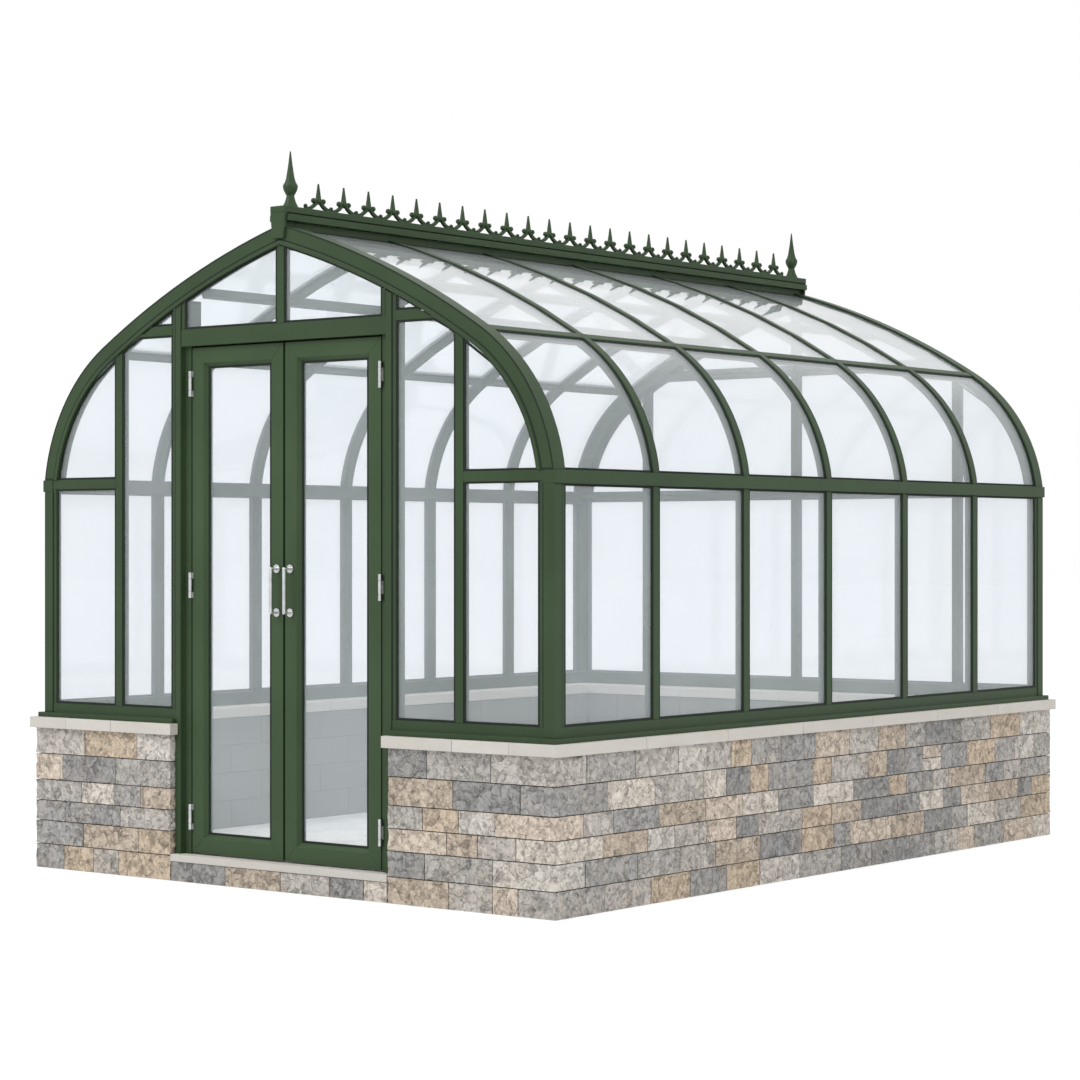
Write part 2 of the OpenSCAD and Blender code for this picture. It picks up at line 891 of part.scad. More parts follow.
// Upper and lower knuckles and plate that ride on the right leaf
module leaf_hinge() {
  end_h = (hinge_h - knuckle_h) / 2 - knuckle_gap;
  for (z = [-hinge_h / 2, hinge_h / 2 - end_h])
    difference() {
      union() {
        translate([pivot_x, pivot_y, z])
          cylinder(r = knuckle_r, h = end_h);
        block([pivot_x - plate_w, door_y - plate_t, z], [pivot_x, door_y, z + end_h]);
        block([pivot_x - 2 * plate_t, pivot_y, z], [pivot_x - plate_t, door_y, z + end_h]);
      }
      translate([pivot_x, pivot_y, z - 10])
        cylinder(r = pin_r + pin_gap, h = end_h + 20);
    }
}

module leaf_hinges() {
  for (z = hinge_zs)
    translate([0, 0, z])
      leaf_hinge();
}

// Frame of the right leaf with a bevelled opening
module leaf() {
  x0 = meet_gap / 2;
  x1 = x0 + leaf_w;
  w = stile_w - bevel_w;
  difference() {
    block([x0, door_y, leaf_z], [x1, door_y + leaf_t, leaf_top]);
    block([x0 + stile_w, door_y - 1, leaf_z + stile_w], [x1 - stile_w, door_y + leaf_t + 1, leaf_top - stile_w]);
    intersection() {
      translate([0, 0, leaf_z + w])
        linear_extrude(leaf_top - leaf_z - 2 * w)
          polygon([[x0 + w, door_y - 1], [x1 - w, door_y - 1], [x1 - stile_w, door_y + bevel_w],
            [x0 + stile_w, door_y + bevel_w]]);
      translate([x1, 0, 0])
        rotate([90, 0, -90])
          linear_extrude(leaf_w)
            polygon([[-door_y + 1, leaf_z + w], [-door_y + 1, leaf_top - w],
              [-door_y - bevel_w, leaf_top - stile_w], [-door_y - bevel_w, leaf_z + stile_w]]);
    }
  }
}

// Pane of the right leaf
module leaf_pane() {
  x0 = meet_gap / 2 + stile_w;
  x1 = meet_gap / 2 + leaf_w - stile_w;
  mid = door_y + leaf_t / 2;
  block([x0, mid, leaf_z + stile_w], [x1, mid + glass_t, leaf_top - stile_w]);
}

// Pull handle of the right leaf: a bar on two stems with round roses
module pull() {
  x = meet_gap / 2 + stile_w / 2 - bevel_w / 2;
  bar_y = door_y - pull_out + pull_r;
  for (z = [pull_z - pull_l / 2, pull_z + pull_l / 2]) {
    translate([x, door_y, z])
      rotate([90, 0, 0]) {
        cylinder(r = rose_r, h = rose_t);
        cylinder(r = pull_r - 1, h = pull_out - pull_r);
      }
    translate([x, bar_y, z])
      sphere(r = pull_r + 0.5);
  }
  translate([x, bar_y, pull_z - pull_l / 2])
    cylinder(r = pull_r, h = pull_l);
}

module left_door_leaf() {
  color("#4a5e44")
    mirror([1, 0, 0])
      leaf();
}

module left_door_glass() {
  color("#dfe6e2", 0.3)
    mirror([1, 0, 0])
      leaf_pane();
}

module left_door_handle() {
  color("#b9bcbd")
    mirror([1, 0, 0])
      pull();
}

module left_door_hinges() {
  color("#b9bcbd")
    mirror([1, 0, 0])
      leaf_hinges();
}

module right_door_leaf() {
  color("#4a5e44")
    leaf();
}

module right_door_glass() {
  color("#dfe6e2", 0.3)
    leaf_pane();
}

module right_door_handle() {
  color("#b9bcbd")
    pull();
}

module right_door_hinges() {
  color("#b9bcbd")
    leaf_hinges();
}

floor_slab();
front_walls();
left_wall();
right_wall();
rear_wall();
step_course();
threshold_stone();
front_copings();
side_copings();
rear_coping();
front_sills();
side_sills();
rear_sill();
corner_posts();
front_mullions();
rear_mullions();
left_mullions();
right_mullions();
eaves_beams();
front_transoms();
rear_transoms();
door_jambs();
door_head();
front_gable_bends();
front_gable_rafters();
rear_gable_bends();
rear_gable_rafters();
left_bent_ribs();
right_bent_ribs();
left_roof_bars();
right_roof_bars();
left_purlins();
right_purlins();
ridge_board();
ridge_moulding();
ridge_cresting();
ridge_finials();
left_wall_glass();
right_wall_glass();
left_curved_glass();
right_curved_glass();
left_roof_glass();
right_roof_glass();
front_glass();
rear_glass();
jamb_hinges();
left_door_leaf();
left_door_glass();
left_door_handle();
left_door_hinges();
right_door_leaf();
right_door_glass();
right_door_handle();
right_door_hinges();
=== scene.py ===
# %% [markdown]
# # A glass greenhouse with curved eaves
# The real building is a painted metal frame, glazed on every side, on a low wall of split stones.
# The imported CAD model is the fixed frame of this scene: every piece below is made where the CAD
# says, in metres, with Z up. So the lesson starts by loading it.

import math
import random

import bmesh
import bpy
from mathutils import Matrix, Vector


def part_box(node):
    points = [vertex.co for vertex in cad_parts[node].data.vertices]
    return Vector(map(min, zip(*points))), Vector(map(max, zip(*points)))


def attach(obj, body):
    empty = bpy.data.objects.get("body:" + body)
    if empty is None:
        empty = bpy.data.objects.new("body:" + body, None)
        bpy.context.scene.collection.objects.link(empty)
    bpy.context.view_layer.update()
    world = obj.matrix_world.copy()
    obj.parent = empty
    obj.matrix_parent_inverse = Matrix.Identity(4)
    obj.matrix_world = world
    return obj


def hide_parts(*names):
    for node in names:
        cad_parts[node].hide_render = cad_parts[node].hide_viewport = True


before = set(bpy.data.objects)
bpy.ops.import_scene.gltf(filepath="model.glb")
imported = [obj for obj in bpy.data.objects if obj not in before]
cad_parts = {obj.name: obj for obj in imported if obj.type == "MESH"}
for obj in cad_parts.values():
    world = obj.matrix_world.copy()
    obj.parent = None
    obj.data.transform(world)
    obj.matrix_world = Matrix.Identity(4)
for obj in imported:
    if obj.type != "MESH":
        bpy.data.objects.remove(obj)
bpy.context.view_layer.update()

# %% [markdown]
# ## Working by hand, in code
# Blender's operators act on whatever is selected, just as they do for a person at the screen. So
# each helper first clears the selection, which the loader leaves full of CAD nodes, and then picks
# what the next operator should change. Faces are picked by their place and their normal.

# %% Helpers for selecting and shaping
UP = Vector((0, 0, 1))
MERGE, FLAT_DEGREES, EDGE_DEGREES, SMOOTH_DEGREES = 0.00001, 0.5, 32, 35


def close():
    """Go back from edit mode to object mode."""
    bpy.ops.object.mode_set(mode="OBJECT")


def pick_all():
    """In edit mode, select everything."""
    bpy.ops.mesh.select_all(action="SELECT")


def drop_faces():
    """In edit mode, delete the selected faces."""
    bpy.ops.mesh.delete(type="FACE")


def deselect():
    """Leave edit mode and select nothing."""
    if bpy.context.mode != "OBJECT":
        close()
    bpy.ops.object.select_all(action="DESELECT")


def only(piece):
    """Select one object and make it the active one."""
    deselect()
    piece.select_set(True)
    bpy.context.view_layer.objects.active = piece


def edit(piece):
    """Open one object in edit mode with everything in it selected."""
    only(piece)
    bpy.ops.object.mode_set(mode="EDIT")
    pick_all()


def pick(piece, kind, test):
    """In edit mode, select the faces, edges or points that pass a test."""
    bpy.ops.mesh.select_mode(type=kind)
    bpy.ops.mesh.select_all(action="DESELECT")
    mesh = bmesh.from_edit_mesh(piece.data)
    for part in {"FACE": mesh.faces, "EDGE": mesh.edges, "VERT": mesh.verts}[kind]:
        part.select_set(test(part))
    bmesh.update_edit_mesh(piece.data)


def pick_faces(piece, test):
    """In edit mode, select the faces whose middle and normal pass a test."""
    pick(piece, "FACE", lambda face: test(face.calc_center_median(), face.normal))


def pick_edges(piece, test):
    """In edit mode, select the edges whose two ends pass a test."""
    pick(piece, "EDGE", lambda edge: test(edge.verts[0].co, edge.verts[1].co))


def cut(point, normal, **keep):
    """In edit mode, bisect the whole open piece along a plane."""
    pick_all()
    bpy.ops.mesh.bisect(plane_co=point, plane_no=normal, **keep)


def finish_with(piece, kind, **settings):
    """Add a modifier, set it and apply it."""
    only(piece)
    modifier = piece.modifiers.new(kind.lower(), kind)
    for key, value in settings.items():
        setattr(modifier, key, value)
    bpy.ops.object.modifier_apply(modifier=modifier.name)


def block(name, low, high):
    """A cube primitive at its size and place, with both kept in the mesh."""
    deselect()
    low, high = Vector(low), Vector(high)
    bpy.ops.mesh.primitive_cube_add(size=1, location=(low + high) / 2, scale=high - low)
    piece = bpy.context.object
    piece.name = name
    bpy.ops.object.transform_apply(location=True, rotation=True, scale=True)
    return piece


def node_copy(node, name, flat=True):
    """A new object with a copy of a CAD node's mesh, its loose triangles merged to whole faces."""
    piece = bpy.data.objects.new(name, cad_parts[node].data.copy())
    bpy.context.scene.collection.objects.link(piece)
    piece.data.materials.clear()
    edit(piece)
    bpy.ops.mesh.customdata_custom_splitnormals_clear()
    bpy.ops.mesh.remove_doubles(threshold=MERGE)
    if flat:
        bpy.ops.mesh.dissolve_limited(angle_limit=math.radians(FLAT_DEGREES))
    close()
    return piece


def joined(pieces, name):
    """Join pieces to one object, as Ctrl J does."""
    deselect()
    for piece in pieces:
        piece.select_set(True)
    bpy.context.view_layer.objects.active = pieces[0]
    if len(pieces) > 1:
        bpy.ops.object.join()
    pieces[0].name = name
    return pieces[0]


print("helpers ready in Blender", bpy.app.version_string)

# %% [markdown]
# Most edges on painted metal, cut stone or moulded rubber are a little round, and that is what
# catches the light. A Bevel modifier rounds each edge sharper than an angle, and Weighted Normal
# then keeps the big faces flat in shading. The last helper gives a finished piece its finish and
# the body it moves with, and hides the CAD nodes that it takes the place of.

# %% Helpers for edges and for handing over


def smooth(piece, angle=SMOOTH_DEGREES):
    """Shade round surfaces smooth and leave real edges sharp."""
    only(piece)
    bpy.ops.object.shade_smooth_by_angle(angle=math.radians(angle))


def soften(piece, width, segments=2):
    """Round the sharp edges of a piece and keep its flat faces flat in shading."""
    finish_with(piece, "BEVEL", width=width, segments=segments, limit_method="ANGLE",
                angle_limit=math.radians(EDGE_DEGREES), use_clamp_overlap=True)
    smooth(piece)
    finish_with(piece, "WEIGHTED_NORMAL", keep_sharp=True)


def hand_over(piece, material, body="building", nodes=()):
    """Give a finished piece its material and its body, and hide the CAD nodes it takes the place
    of.
    """
    piece.data.materials.clear()
    piece.data.materials.append(material)
    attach(piece, body)
    if nodes:
        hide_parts(*nodes)


print("edges and hand-over ready")

# %% [markdown]
# ## Shader nodes in short lines
# A material here is a small tree of nodes on Object coordinates. Every object sits at the origin,
# so these are the building's own coordinates and a pattern keeps its real size on every piece.
# Colours are written as display values, 0 to 255, and turned to Blender's linear numbers.

# %% Helpers for materials


def display(red, green, blue):
    """A display colour as linear numbers with full alpha."""
    def linear(value):
        value = value / 255
        return value / 12.92 if value < 0.04045 else ((value + 0.055) / 1.055) ** 2.4
    return (linear(red), linear(green), linear(blue), 1.0)


def put(tree, kind, inputs=None, **settings):
    """Add a shader node; an input is either a value or another node's socket."""
    node = tree.nodes.new("ShaderNode" + kind)
    for key, value in settings.items():
        setattr(node, key, value)
    for key, value in (inputs or {}).items():
        if isinstance(value, bpy.types.NodeSocket):
            tree.links.new(value, node.inputs[key])
        else:
            node.inputs[key].default_value = value
    return node


def new_material(name):
    """An empty node material and the Object coordinates that its patterns start from."""
    material = bpy.data.materials.new(name)
    material.use_nodes = True
    tree = material.node_tree
    tree.nodes.clear()
    return material, tree, put(tree, "TexCoord").outputs["Object"]


def noise(tree, where, scale, detail=4, roughness=0.55):
    """Cloudy noise of a given number of clouds per metre."""
    return put(tree, "TexNoise", {"Vector": where, "Scale": scale, "Detail": detail,
                                  "Roughness": roughness}).outputs["Fac"]


def spread(tree, value, low, high, start=0.3, end=0.7):
    """Map a noise value to a range of plain numbers."""
    return put(tree, "MapRange", {"Value": value, "From Min": start, "From Max": end,
                                  "To Min": low, "To Max": high}).outputs["Result"]


def between(tree, factor, first, second, blend_type="MIX"):
    """Mix two colours by a factor."""
    return put(tree, "Mix", {0: factor, 6: first, 7: second}, data_type="RGBA",
               blend_type=blend_type).outputs[2]


def shade(tree, colour, factor):
    """Darken or lighten a colour by a number."""
    grey = put(tree, "CombineColor", {"Red": factor, "Green": factor, "Blue": factor}).outputs[0]
    return between(tree, 1.0, colour, grey, "MULTIPLY")


def sums(tree, operation, *values, kind="Math", **settings):
    """One step of arithmetic on numbers or, as VectorMath, on vectors."""
    node = put(tree, kind, dict(enumerate(values)), operation=operation, **settings)
    return node.outputs["Value" if operation == "DOT_PRODUCT" else 0]


def blend(tree, factor, first, second):
    """Mix two shaders by a factor."""
    return put(tree, "MixShader", {0: factor, 1: first, 2: second}).outputs[0]


def bumps(tree, height, strength, distance):
    """A normal that follows a height pattern."""
    return put(tree, "Bump", {"Height": height, "Strength": strength,
                              "Distance": distance}).outputs["Normal"]


def surface(tree, inputs, **constants):
    """A Principled surface joined to the output."""
    for key, value in constants.items():
        inputs[key.replace("_", " ")] = value
    shader = put(tree, "BsdfPrincipled", inputs)
    put(tree, "OutputMaterial", {"Surface": shader.outputs["BSDF"]})


print("material helpers ready")

# %% [markdown]
# ## Camera
# The picture was taken from the right of the doors at about eye height, with the camera held level,
# so the uprights stay upright. The place and lens below come from fitting the CAD corners to the
# picture. A small shift puts the horizon where the picture has it.

# %% Camera
CAMERA_PLACE, CAMERA_TURN = (7.6371, -10.0205, 1.3766), 37.9316
LENS, SENSOR, HORIZON_SHIFT = 92.395, 36, 0.00615
deselect()
bpy.ops.object.camera_add(location=CAMERA_PLACE,
                          rotation=(math.radians(90), 0, math.radians(CAMERA_TURN)))
camera = bpy.context.object
camera.data.lens = LENS
camera.data.sensor_width = SENSOR
camera.data.shift_y = HORIZON_SHIFT
camera.data.dof.use_dof = False
bpy.context.scene.camera = camera
print("camera at", [round(v, 2) for v in camera.location], "lens", round(camera.data.lens, 1))

# %% [markdown]
# ## Studio
# A plain pale floor and soft light from a bright surround, one large key lamp at the front left, a
# weaker one at the right and a faint one overhead for the roof. The white background is only what
# the camera, glossy and see-through rays meet: the light on the building itself stays at a plain
# level, and the floor keeps a soft shadow.

# %% Studio floor, surround and lamps
WHITE = (1, 1, 1, 1)
LIGHT_LEVEL, BACKDROP_LEVEL = 0.8, 1.0
FLOOR_GREY, FLOOR_GLOW, GLOW_SHARE = 0.82, 1.32, 0.55
FLOOR_SIZE, FLOOR_DROP, LAMP_TARGET = 160, 0.002, Vector((0, 0, 1.2))
scene = bpy.context.scene
scene.view_settings.view_transform = "Standard"


def seen_directly(tree):
    """One for the rays that show the background itself, zero for the rays that light things."""
    rays = put(tree, "LightPath").outputs
    first = sums(tree, "MAXIMUM", rays["Is Camera Ray"], rays["Is Glossy Ray"])
    return sums(tree, "MAXIMUM", first, rays["Is Transmission Ray"])


surround = bpy.data.worlds.new("studio_surround")
scene.world = surround
surround.use_nodes = True
tree = surround.node_tree
tree.nodes.clear()
lighting = put(tree, "Background", {"Color": WHITE, "Strength": LIGHT_LEVEL}).outputs[0]
backdrop = put(tree, "Background", {"Color": WHITE, "Strength": BACKDROP_LEVEL}).outputs[0]
put(tree, "OutputWorld", {"Surface": blend(tree, seen_directly(tree), lighting, backdrop)})

deselect()
bpy.ops.mesh.primitive_plane_add(size=FLOOR_SIZE, location=(0, 0, -FLOOR_DROP))
floor = bpy.context.object
floor.name = "studio_floor"
pale_floor, tree, _ = new_material("pale_floor")
matt = put(tree, "BsdfDiffuse", {"Color": (FLOOR_GREY, FLOOR_GREY, FLOOR_GREY, 1)}).outputs[0]
glow = put(tree, "Emission", {"Color": WHITE, "Strength": FLOOR_GLOW}).outputs[0]
share = sums(tree, "MULTIPLY", seen_directly(tree), GLOW_SHARE)
put(tree, "OutputMaterial", {"Surface": blend(tree, share, matt, glow)})
floor.data.materials.append(pale_floor)


def lamp(name, place, power, size):
    """A square soft lamp that points at the middle of the building."""
    deselect()
    place = Vector(place)
    turn = (LAMP_TARGET - place).to_track_quat("-Z", "Y").to_euler()
    bpy.ops.object.light_add(type="AREA", location=place, rotation=turn)
    light = bpy.context.object
    light.name = name
    light.data.energy = power
    light.data.size = size


lamp("key_lamp", (-3.5, -9.5, 9.0), 610, 5.0)
lamp("side_lamp", (9.5, -2.0, 6.5), 285, 5.0)
lamp("sky_lamp", (0.0, 0.0, 10.0), 190, 8.0)
print("studio:", [light.name for light in bpy.data.lights])

# %% [markdown]
# ## Green paint
# The frame has one coat of smooth dark green paint. Sprayed paint is never quite even: it is a
# little greyer here and there and has a faint skin like the peel of a fruit. Two soft noises give
# both, one for the colour and gloss and one, hundreds to the metre, for the bump. The door leaves
# get a lighter copy of the paint, painted light that makes up for the shade under the door head.

# %% Green paint


def paint(name, deep, bright):
    """A coat of paint that wavers between two tones."""
    material, tree, where = new_material(name)
    clouds = noise(tree, where, 2.2, 5)
    skin = noise(tree, where, 260, 2)
    colour = between(tree, spread(tree, clouds, 0, 1), display(*deep), display(*bright))
    surface(tree, {"Base Color": colour, "Roughness": spread(tree, clouds, 0.36, 0.48),
                   "Normal": bumps(tree, skin, 0.12, 0.0008)}, IOR=1.45, Specular_IOR_Level=0.2)
    return material


green_paint = paint("green_paint", (47, 64, 42), (55, 73, 49))
# A lighter copy of the green for the door leaves: painted light against the shade under the head.
leaf_paint_lit_copy = paint("leaf_paint_lit_copy", (53, 71, 47), (61, 80, 54))
print("made", green_paint.name, "and", leaf_paint_lit_copy.name)

# %% [markdown]
# ## Painting the frame
# The posts, bars, sills, arches and mouldings have the right shape in the CAD model, but all their
# edges are razor sharp. Each one is copied, its triangles are merged to whole faces, and its edges
# get a 2 mm round, as drawn metal has under paint. That is quicker and truer than modelling them
# again.

# %% Painted bars, sills, arches and mouldings
BAR_ROUND = 0.0022
PAINTED = [
    "front_sills", "side_sills", "rear_sill", "corner_posts", "front_mullions", "rear_mullions",
    "left_mullions", "right_mullions", "eaves_beams", "front_transoms", "rear_transoms",
    "door_jambs", "door_head", "left_bent_ribs", "right_bent_ribs", "left_roof_bars",
    "right_roof_bars", "left_purlins", "right_purlins", "ridge_board", "ridge_moulding"]
for node in PAINTED:
    bar = node_copy(node, "painted_" + node)
    soften(bar, BAR_ROUND)
    hand_over(bar, green_paint, nodes=[node])
print("painted", len(PAINTED), "frame pieces")

# %% [markdown]
# Each gable has one arch from eaves to ridge, bent from a single bar. In the CAD model its two
# bends and its rafters are nodes of their own, and rounding each would leave grooves where they
# meet. So the copies are joined first, the doubled points are merged and the faces left inside are
# deleted.

# %% Gable arches
ARCH_MERGE = 0.0004
for end in ("front", "rear"):
    nodes = [end + "_gable_bends", end + "_gable_rafters"]
    arch = joined([node_copy(node, node) for node in nodes], end + "_gable_arch")
    edit(arch)
    bpy.ops.mesh.remove_doubles(threshold=ARCH_MERGE)
    pick_faces(arch, lambda middle, normal: False)
    bpy.ops.mesh.select_interior_faces()
    inside = bmesh.from_edit_mesh(arch.data)
    print(arch.name, "faces left inside:", sum(face.select for face in inside.faces))
    drop_faces()
    close()
    soften(arch, BAR_ROUND)
    hand_over(arch, green_paint, nodes=nodes)

# %% [markdown]
# ## Ridge ironwork
# The cresting and the two finials are castings: every surface is already round, so a bevel would
# only add faces. A merged copy shaded smooth by angle keeps the crisp collars and lets the balls be
# round.

# %% Cresting and finials
for node in ["ridge_cresting", "ridge_finials"]:
    casting = node_copy(node, "cast_" + node, flat=False)
    smooth(casting, 38)
    hand_over(casting, green_paint, nodes=[node])
    print(casting.name, len(casting.data.polygons), "faces")

# %% [markdown]
# ## Door leaves
# Each leaf is four lengths of one bevelled section, cut at 45 degrees and joined at the corners,
# and the fine line of that mitre shows in the paint. So the leaf's copy is cut four times, each
# time down to one stile or rail between two mitre planes and the middle of the leaf, and the
# rounded edges then leave a small groove.

# %% Mitred door leaves
LEAF_ROUND = 0.0014


def mitred(node):
    """Four members of a leaf, cut along the lines from its outer corners."""
    low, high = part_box(node)
    corners = [Vector((low.x, 0, low.z)), Vector((high.x, 0, low.z)),
               Vector((high.x, 0, high.z)), Vector((low.x, 0, high.z))]
    slants = [Vector((1, 0, 1)), Vector((-1, 0, 1)), Vector((-1, 0, -1)), Vector((1, 0, -1))]
    members = []
    for i in range(4):
        member = node_copy(node, "member")
        edit(member)
        j = (i + 1) % 4
        side = (corners[j] - corners[i]).normalized()
        inside = Vector((-side.z, 0, side.x))
        for corner, slant in ((corners[i], slants[i]), (corners[j], slants[j])):
            across = Vector((-slant.z, 0, slant.x))
            if across.dot(inside) < 0:
                across = -across
            cut(corner, across, clear_outer=True, use_fill=True)
        cut((low + high) / 2, inside, clear_outer=True, use_fill=True)
        close()
        members.append(member)
    return members


for side in ("left", "right"):
    node = side + "_door_leaf"
    leaf = joined(mitred(node), "mitred_" + node)
    soften(leaf, LEAF_ROUND)
    hand_over(leaf, leaf_paint_lit_copy, side + "_door", [node])
    print(leaf.name, len(leaf.data.polygons), "faces")

# %% [markdown]
# ## Satin steel
# The pulls and hinges are brushed steel. Brushing leaves fine marks along the bar, so the noise is
# stretched along Z with a Mapping node and moves the roughness and the bump a little.

# %% Satin steel, pulls and hinges
satin_steel, tree, where = new_material("satin_steel")
brushed = put(tree, "Mapping", {"Vector": where, "Scale": (1, 1, 0.06)}).outputs[0]
marks = noise(tree, brushed, 900, 3)
colour = between(tree, spread(tree, noise(tree, where, 30), 0, 1),
                 display(188, 189, 190), display(212, 212, 212))
surface(tree, {"Base Color": colour, "Roughness": spread(tree, marks, 0.22, 0.38),
               "Normal": bumps(tree, marks, 0.1, 0.0003)}, Metallic=1.0)
METAL = {"jamb_hinges": "building",
         "left_door_handle": "left_door", "left_door_hinges": "left_door",
         "right_door_handle": "right_door", "right_door_hinges": "right_door"}
for node, body in METAL.items():
    fitting = node_copy(node, "satin_" + node, flat=False)
    smooth(fitting)
    hand_over(fitting, satin_steel, body, [node])
print("made", len(METAL), "steel fittings")

# %% [markdown]
# ## Glass
# Clear panes on a white day: mostly see-through, with a pale film that washes out what stands
# behind and a reflection that grows towards grazing angles. The film is painted reflection of the
# white surroundings, and dust makes it uneven. Transparent and a thin film that takes light from
# both sides are mixed, gloss is laid on top by how the face is turned, the same for the front and
# the back of a pane, and lamps pass straight through so that the inside stays light.

# %% Glass


def clear_glass(name, reflection_film, tone):
    """Glass with a share of pale film on each face, painted reflection of the surroundings."""
    material, tree, where = new_material(name)
    # The film is painted reflection of the white surroundings; its share wavers with dust.
    dust_and_reflection = spread(tree, noise(tree, where, 1.4, 4), reflection_film * 0.8, reflection_film * 1.2)
    clear = put(tree, "BsdfTransparent", {"Color": (0.986, 0.992, 1.0, 1)}).outputs[0]
    near = put(tree, "BsdfDiffuse", {"Color": display(*tone)}).outputs[0]
    far = put(tree, "BsdfTranslucent", {"Color": display(*tone)}).outputs[0]
    body = blend(tree, dust_and_reflection, clear, blend(tree, 0.5, near, far))
    gloss = put(tree, "BsdfGlossy", {"Color": WHITE, "Roughness": 0.03}).outputs[0]
    facing = put(tree, "LayerWeight", {"Blend": 0.5}).outputs["Facing"]
    shine = spread(tree, sums(tree, "POWER", facing, 5.0), 0.04, 0.9, 0, 1)
    pane = blend(tree, shine, body, gloss)
    rays = put(tree, "LightPath").outputs
    lit = sums(tree, "MAXIMUM", rays["Is Shadow Ray"], rays["Is Diffuse Ray"])
    put(tree, "OutputMaterial", {"Surface": blend(tree, lit, pane, clear)})
    return material


wall_glass = clear_glass("wall_glass", 0.15, (236, 246, 253))
roof_glass = clear_glass("roof_glass", 0.34, (245, 251, 255))
for node in ["left_wall_glass", "right_wall_glass", "front_glass", "rear_glass", "left_door_glass",
             "right_door_glass"]:
    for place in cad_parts[node].material_slots:
        place.material = wall_glass
BENT = {"left_curved_glass": wall_glass, "right_curved_glass": wall_glass,
        "left_roof_glass": roof_glass, "right_roof_glass": roof_glass}
for node, finish in BENT.items():
    pane = node_copy(node, "bent_" + node)
    smooth(pane)
    hand_over(pane, finish, nodes=[node])
print("glazed", len([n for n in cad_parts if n.endswith("glass")]), "nodes")

# %% [markdown]
# ## Split stones
# The base is faced with stones that were split by hand: long and short, in six courses, with a
# rough face, dry thin joints and square quoins that turn the corners. A flat wall with bump would
# have smooth outlines and no joints, so every stone is a solid of its own, copied from two
# patterns. The first pattern is a block with a bevelled rim, cut into a coarse grid on its face
# only.

# %% Two pattern stones


NEAR, RIM = 0.0001, 0.005


def on_front(point):
    """Whether a point lies on the front face of a pattern."""
    return point.y < NEAR


def on_return(point):
    """Whether a point lies on the face that a quoin shows round the corner."""
    return point.x > -NEAR


def split_face(piece, planes, cuts):
    """Bevel the rim of the rough faces, cut them to a grid and mark their points as rough."""
    def rough(point):
        return any(plane(point) for plane in planes)
    edit(piece)
    pick_edges(piece, lambda a, b: any(plane(a) and plane(b) for plane in planes))
    bpy.ops.mesh.bevel(offset=RIM, segments=1, affect="EDGES")
    low, high = Vector(piece.bound_box[0]), Vector(piece.bound_box[6])
    for axis, count in enumerate(cuts):
        normal = Vector([float(axis == i) for i in range(3)])
        for i in range(1, count):
            pick(piece, "FACE", lambda face: any(rough(v.co) for v in face.verts))
            level = (low + (high - low) * i / count)[axis]
            bpy.ops.mesh.bisect(plane_co=normal * level, plane_no=normal)
    close()
    group = piece.vertex_groups.new(name="rough")
    group.add([v.index for v in piece.data.vertices if rough(v.co)], 1.0, "REPLACE")
    return piece


pattern_stone = split_face(block("pattern_stone", (0, 0, 0), (0.2, 0.085, 0.1)),
                           [on_front], (8, 1, 4))
pattern_quoin = split_face(block("pattern_quoin", (-0.25, 0, 0), (0, 0.25, 0.1)),
                           [on_front, on_return], (6, 6, 4))
print("stone faces:", len(pattern_stone.data.polygons),
      "quoin faces:", len(pattern_quoin.data.polygons))

# %% [markdown]
# A copy of a pattern is stretched to its own length and course, put in place and given its own
# tone. The tone is a colour attribute with a random number in its alpha, so that one material can
# colour hundreds of stones and no two share the same flecks. The palette is the quarry's: cool and
# warm greys, pale cream and tan.

# %% Setting one stone
STONE_TONES = [display(*tone) for tone in (
    (160, 159, 158), (172, 170, 168), (187, 183, 178), (200, 194, 187), (216, 210, 202),
    (224, 215, 204), (220, 205, 189), (209, 191, 169), (202, 187, 170))]
JOINT = 0.004
chooser = random.Random(11)


def other_tone(last):
    """A tone that differs from the neighbour's."""
    return chooser.choice([tone for tone in STONE_TONES if tone is not last])


def tint(piece, colour):
    """One tone for a whole piece, kept as an attribute."""
    colours = piece.data.color_attributes.new("tone", "FLOAT_COLOR", "POINT")
    colours.data.foreach_set("color", [*colour[:3], chooser.random()] * len(piece.data.vertices))
    return piece


def set_stone(pattern, size, corner, along, tone):
    """Copy a pattern to its size and place on a face that runs along a direction."""
    inward = Vector((-along.y, along.x, 0))
    place = Matrix.Identity(4)
    for i, axis in enumerate((along, inward, UP)):
        place.col[i] = (axis * size[i] / pattern.dimensions[i]).to_4d()
        place[3][i] = 0
    place.translation = corner
    stone = bpy.data.objects.new("stone", pattern.data.copy())
    scene.collection.objects.link(stone)
    stone.data.transform(place)
    return tint(stone, tone)


print(len(STONE_TONES), "stone tones, joints of", JOINT * 1000, "mm")

# %% [markdown]
# A mason first sets the quoins, long and short legs in turn, and then fills each course between
# them. The code does the same. Every so often two thin stones share a course.

# %% Laying the courses
SHORTEST, LONGEST, LEAST_REST, SPLIT_SHARE = 0.13, 0.34, 0.12, 0.02
END = 0.001
COURSES = [0.103, 0.100, 0.087, 0.089, 0.111, 0.110]
LONG = [0.31, 0.19, 0.30, 0.18, 0.33, 0.20]
SHORT = [0.18, 0.30, 0.19, 0.29, 0.17, 0.31]


def lay_quoins(corner, along, legs, returns):
    """Corner stones of one corner; legs run back along the face and returns round the corner."""
    stones, height = [], 0.0
    for course, leg, turn in zip(COURSES, legs, returns):
        low = JOINT / 2 if height else 0.0
        size = (leg - JOINT / 2, turn - JOINT / 2, course - low - JOINT / 2)
        place = Vector(corner) + UP * (height + low)
        stones.append(set_stone(pattern_quoin, size, place, along, other_tone(None)))
        height += course
    return stones


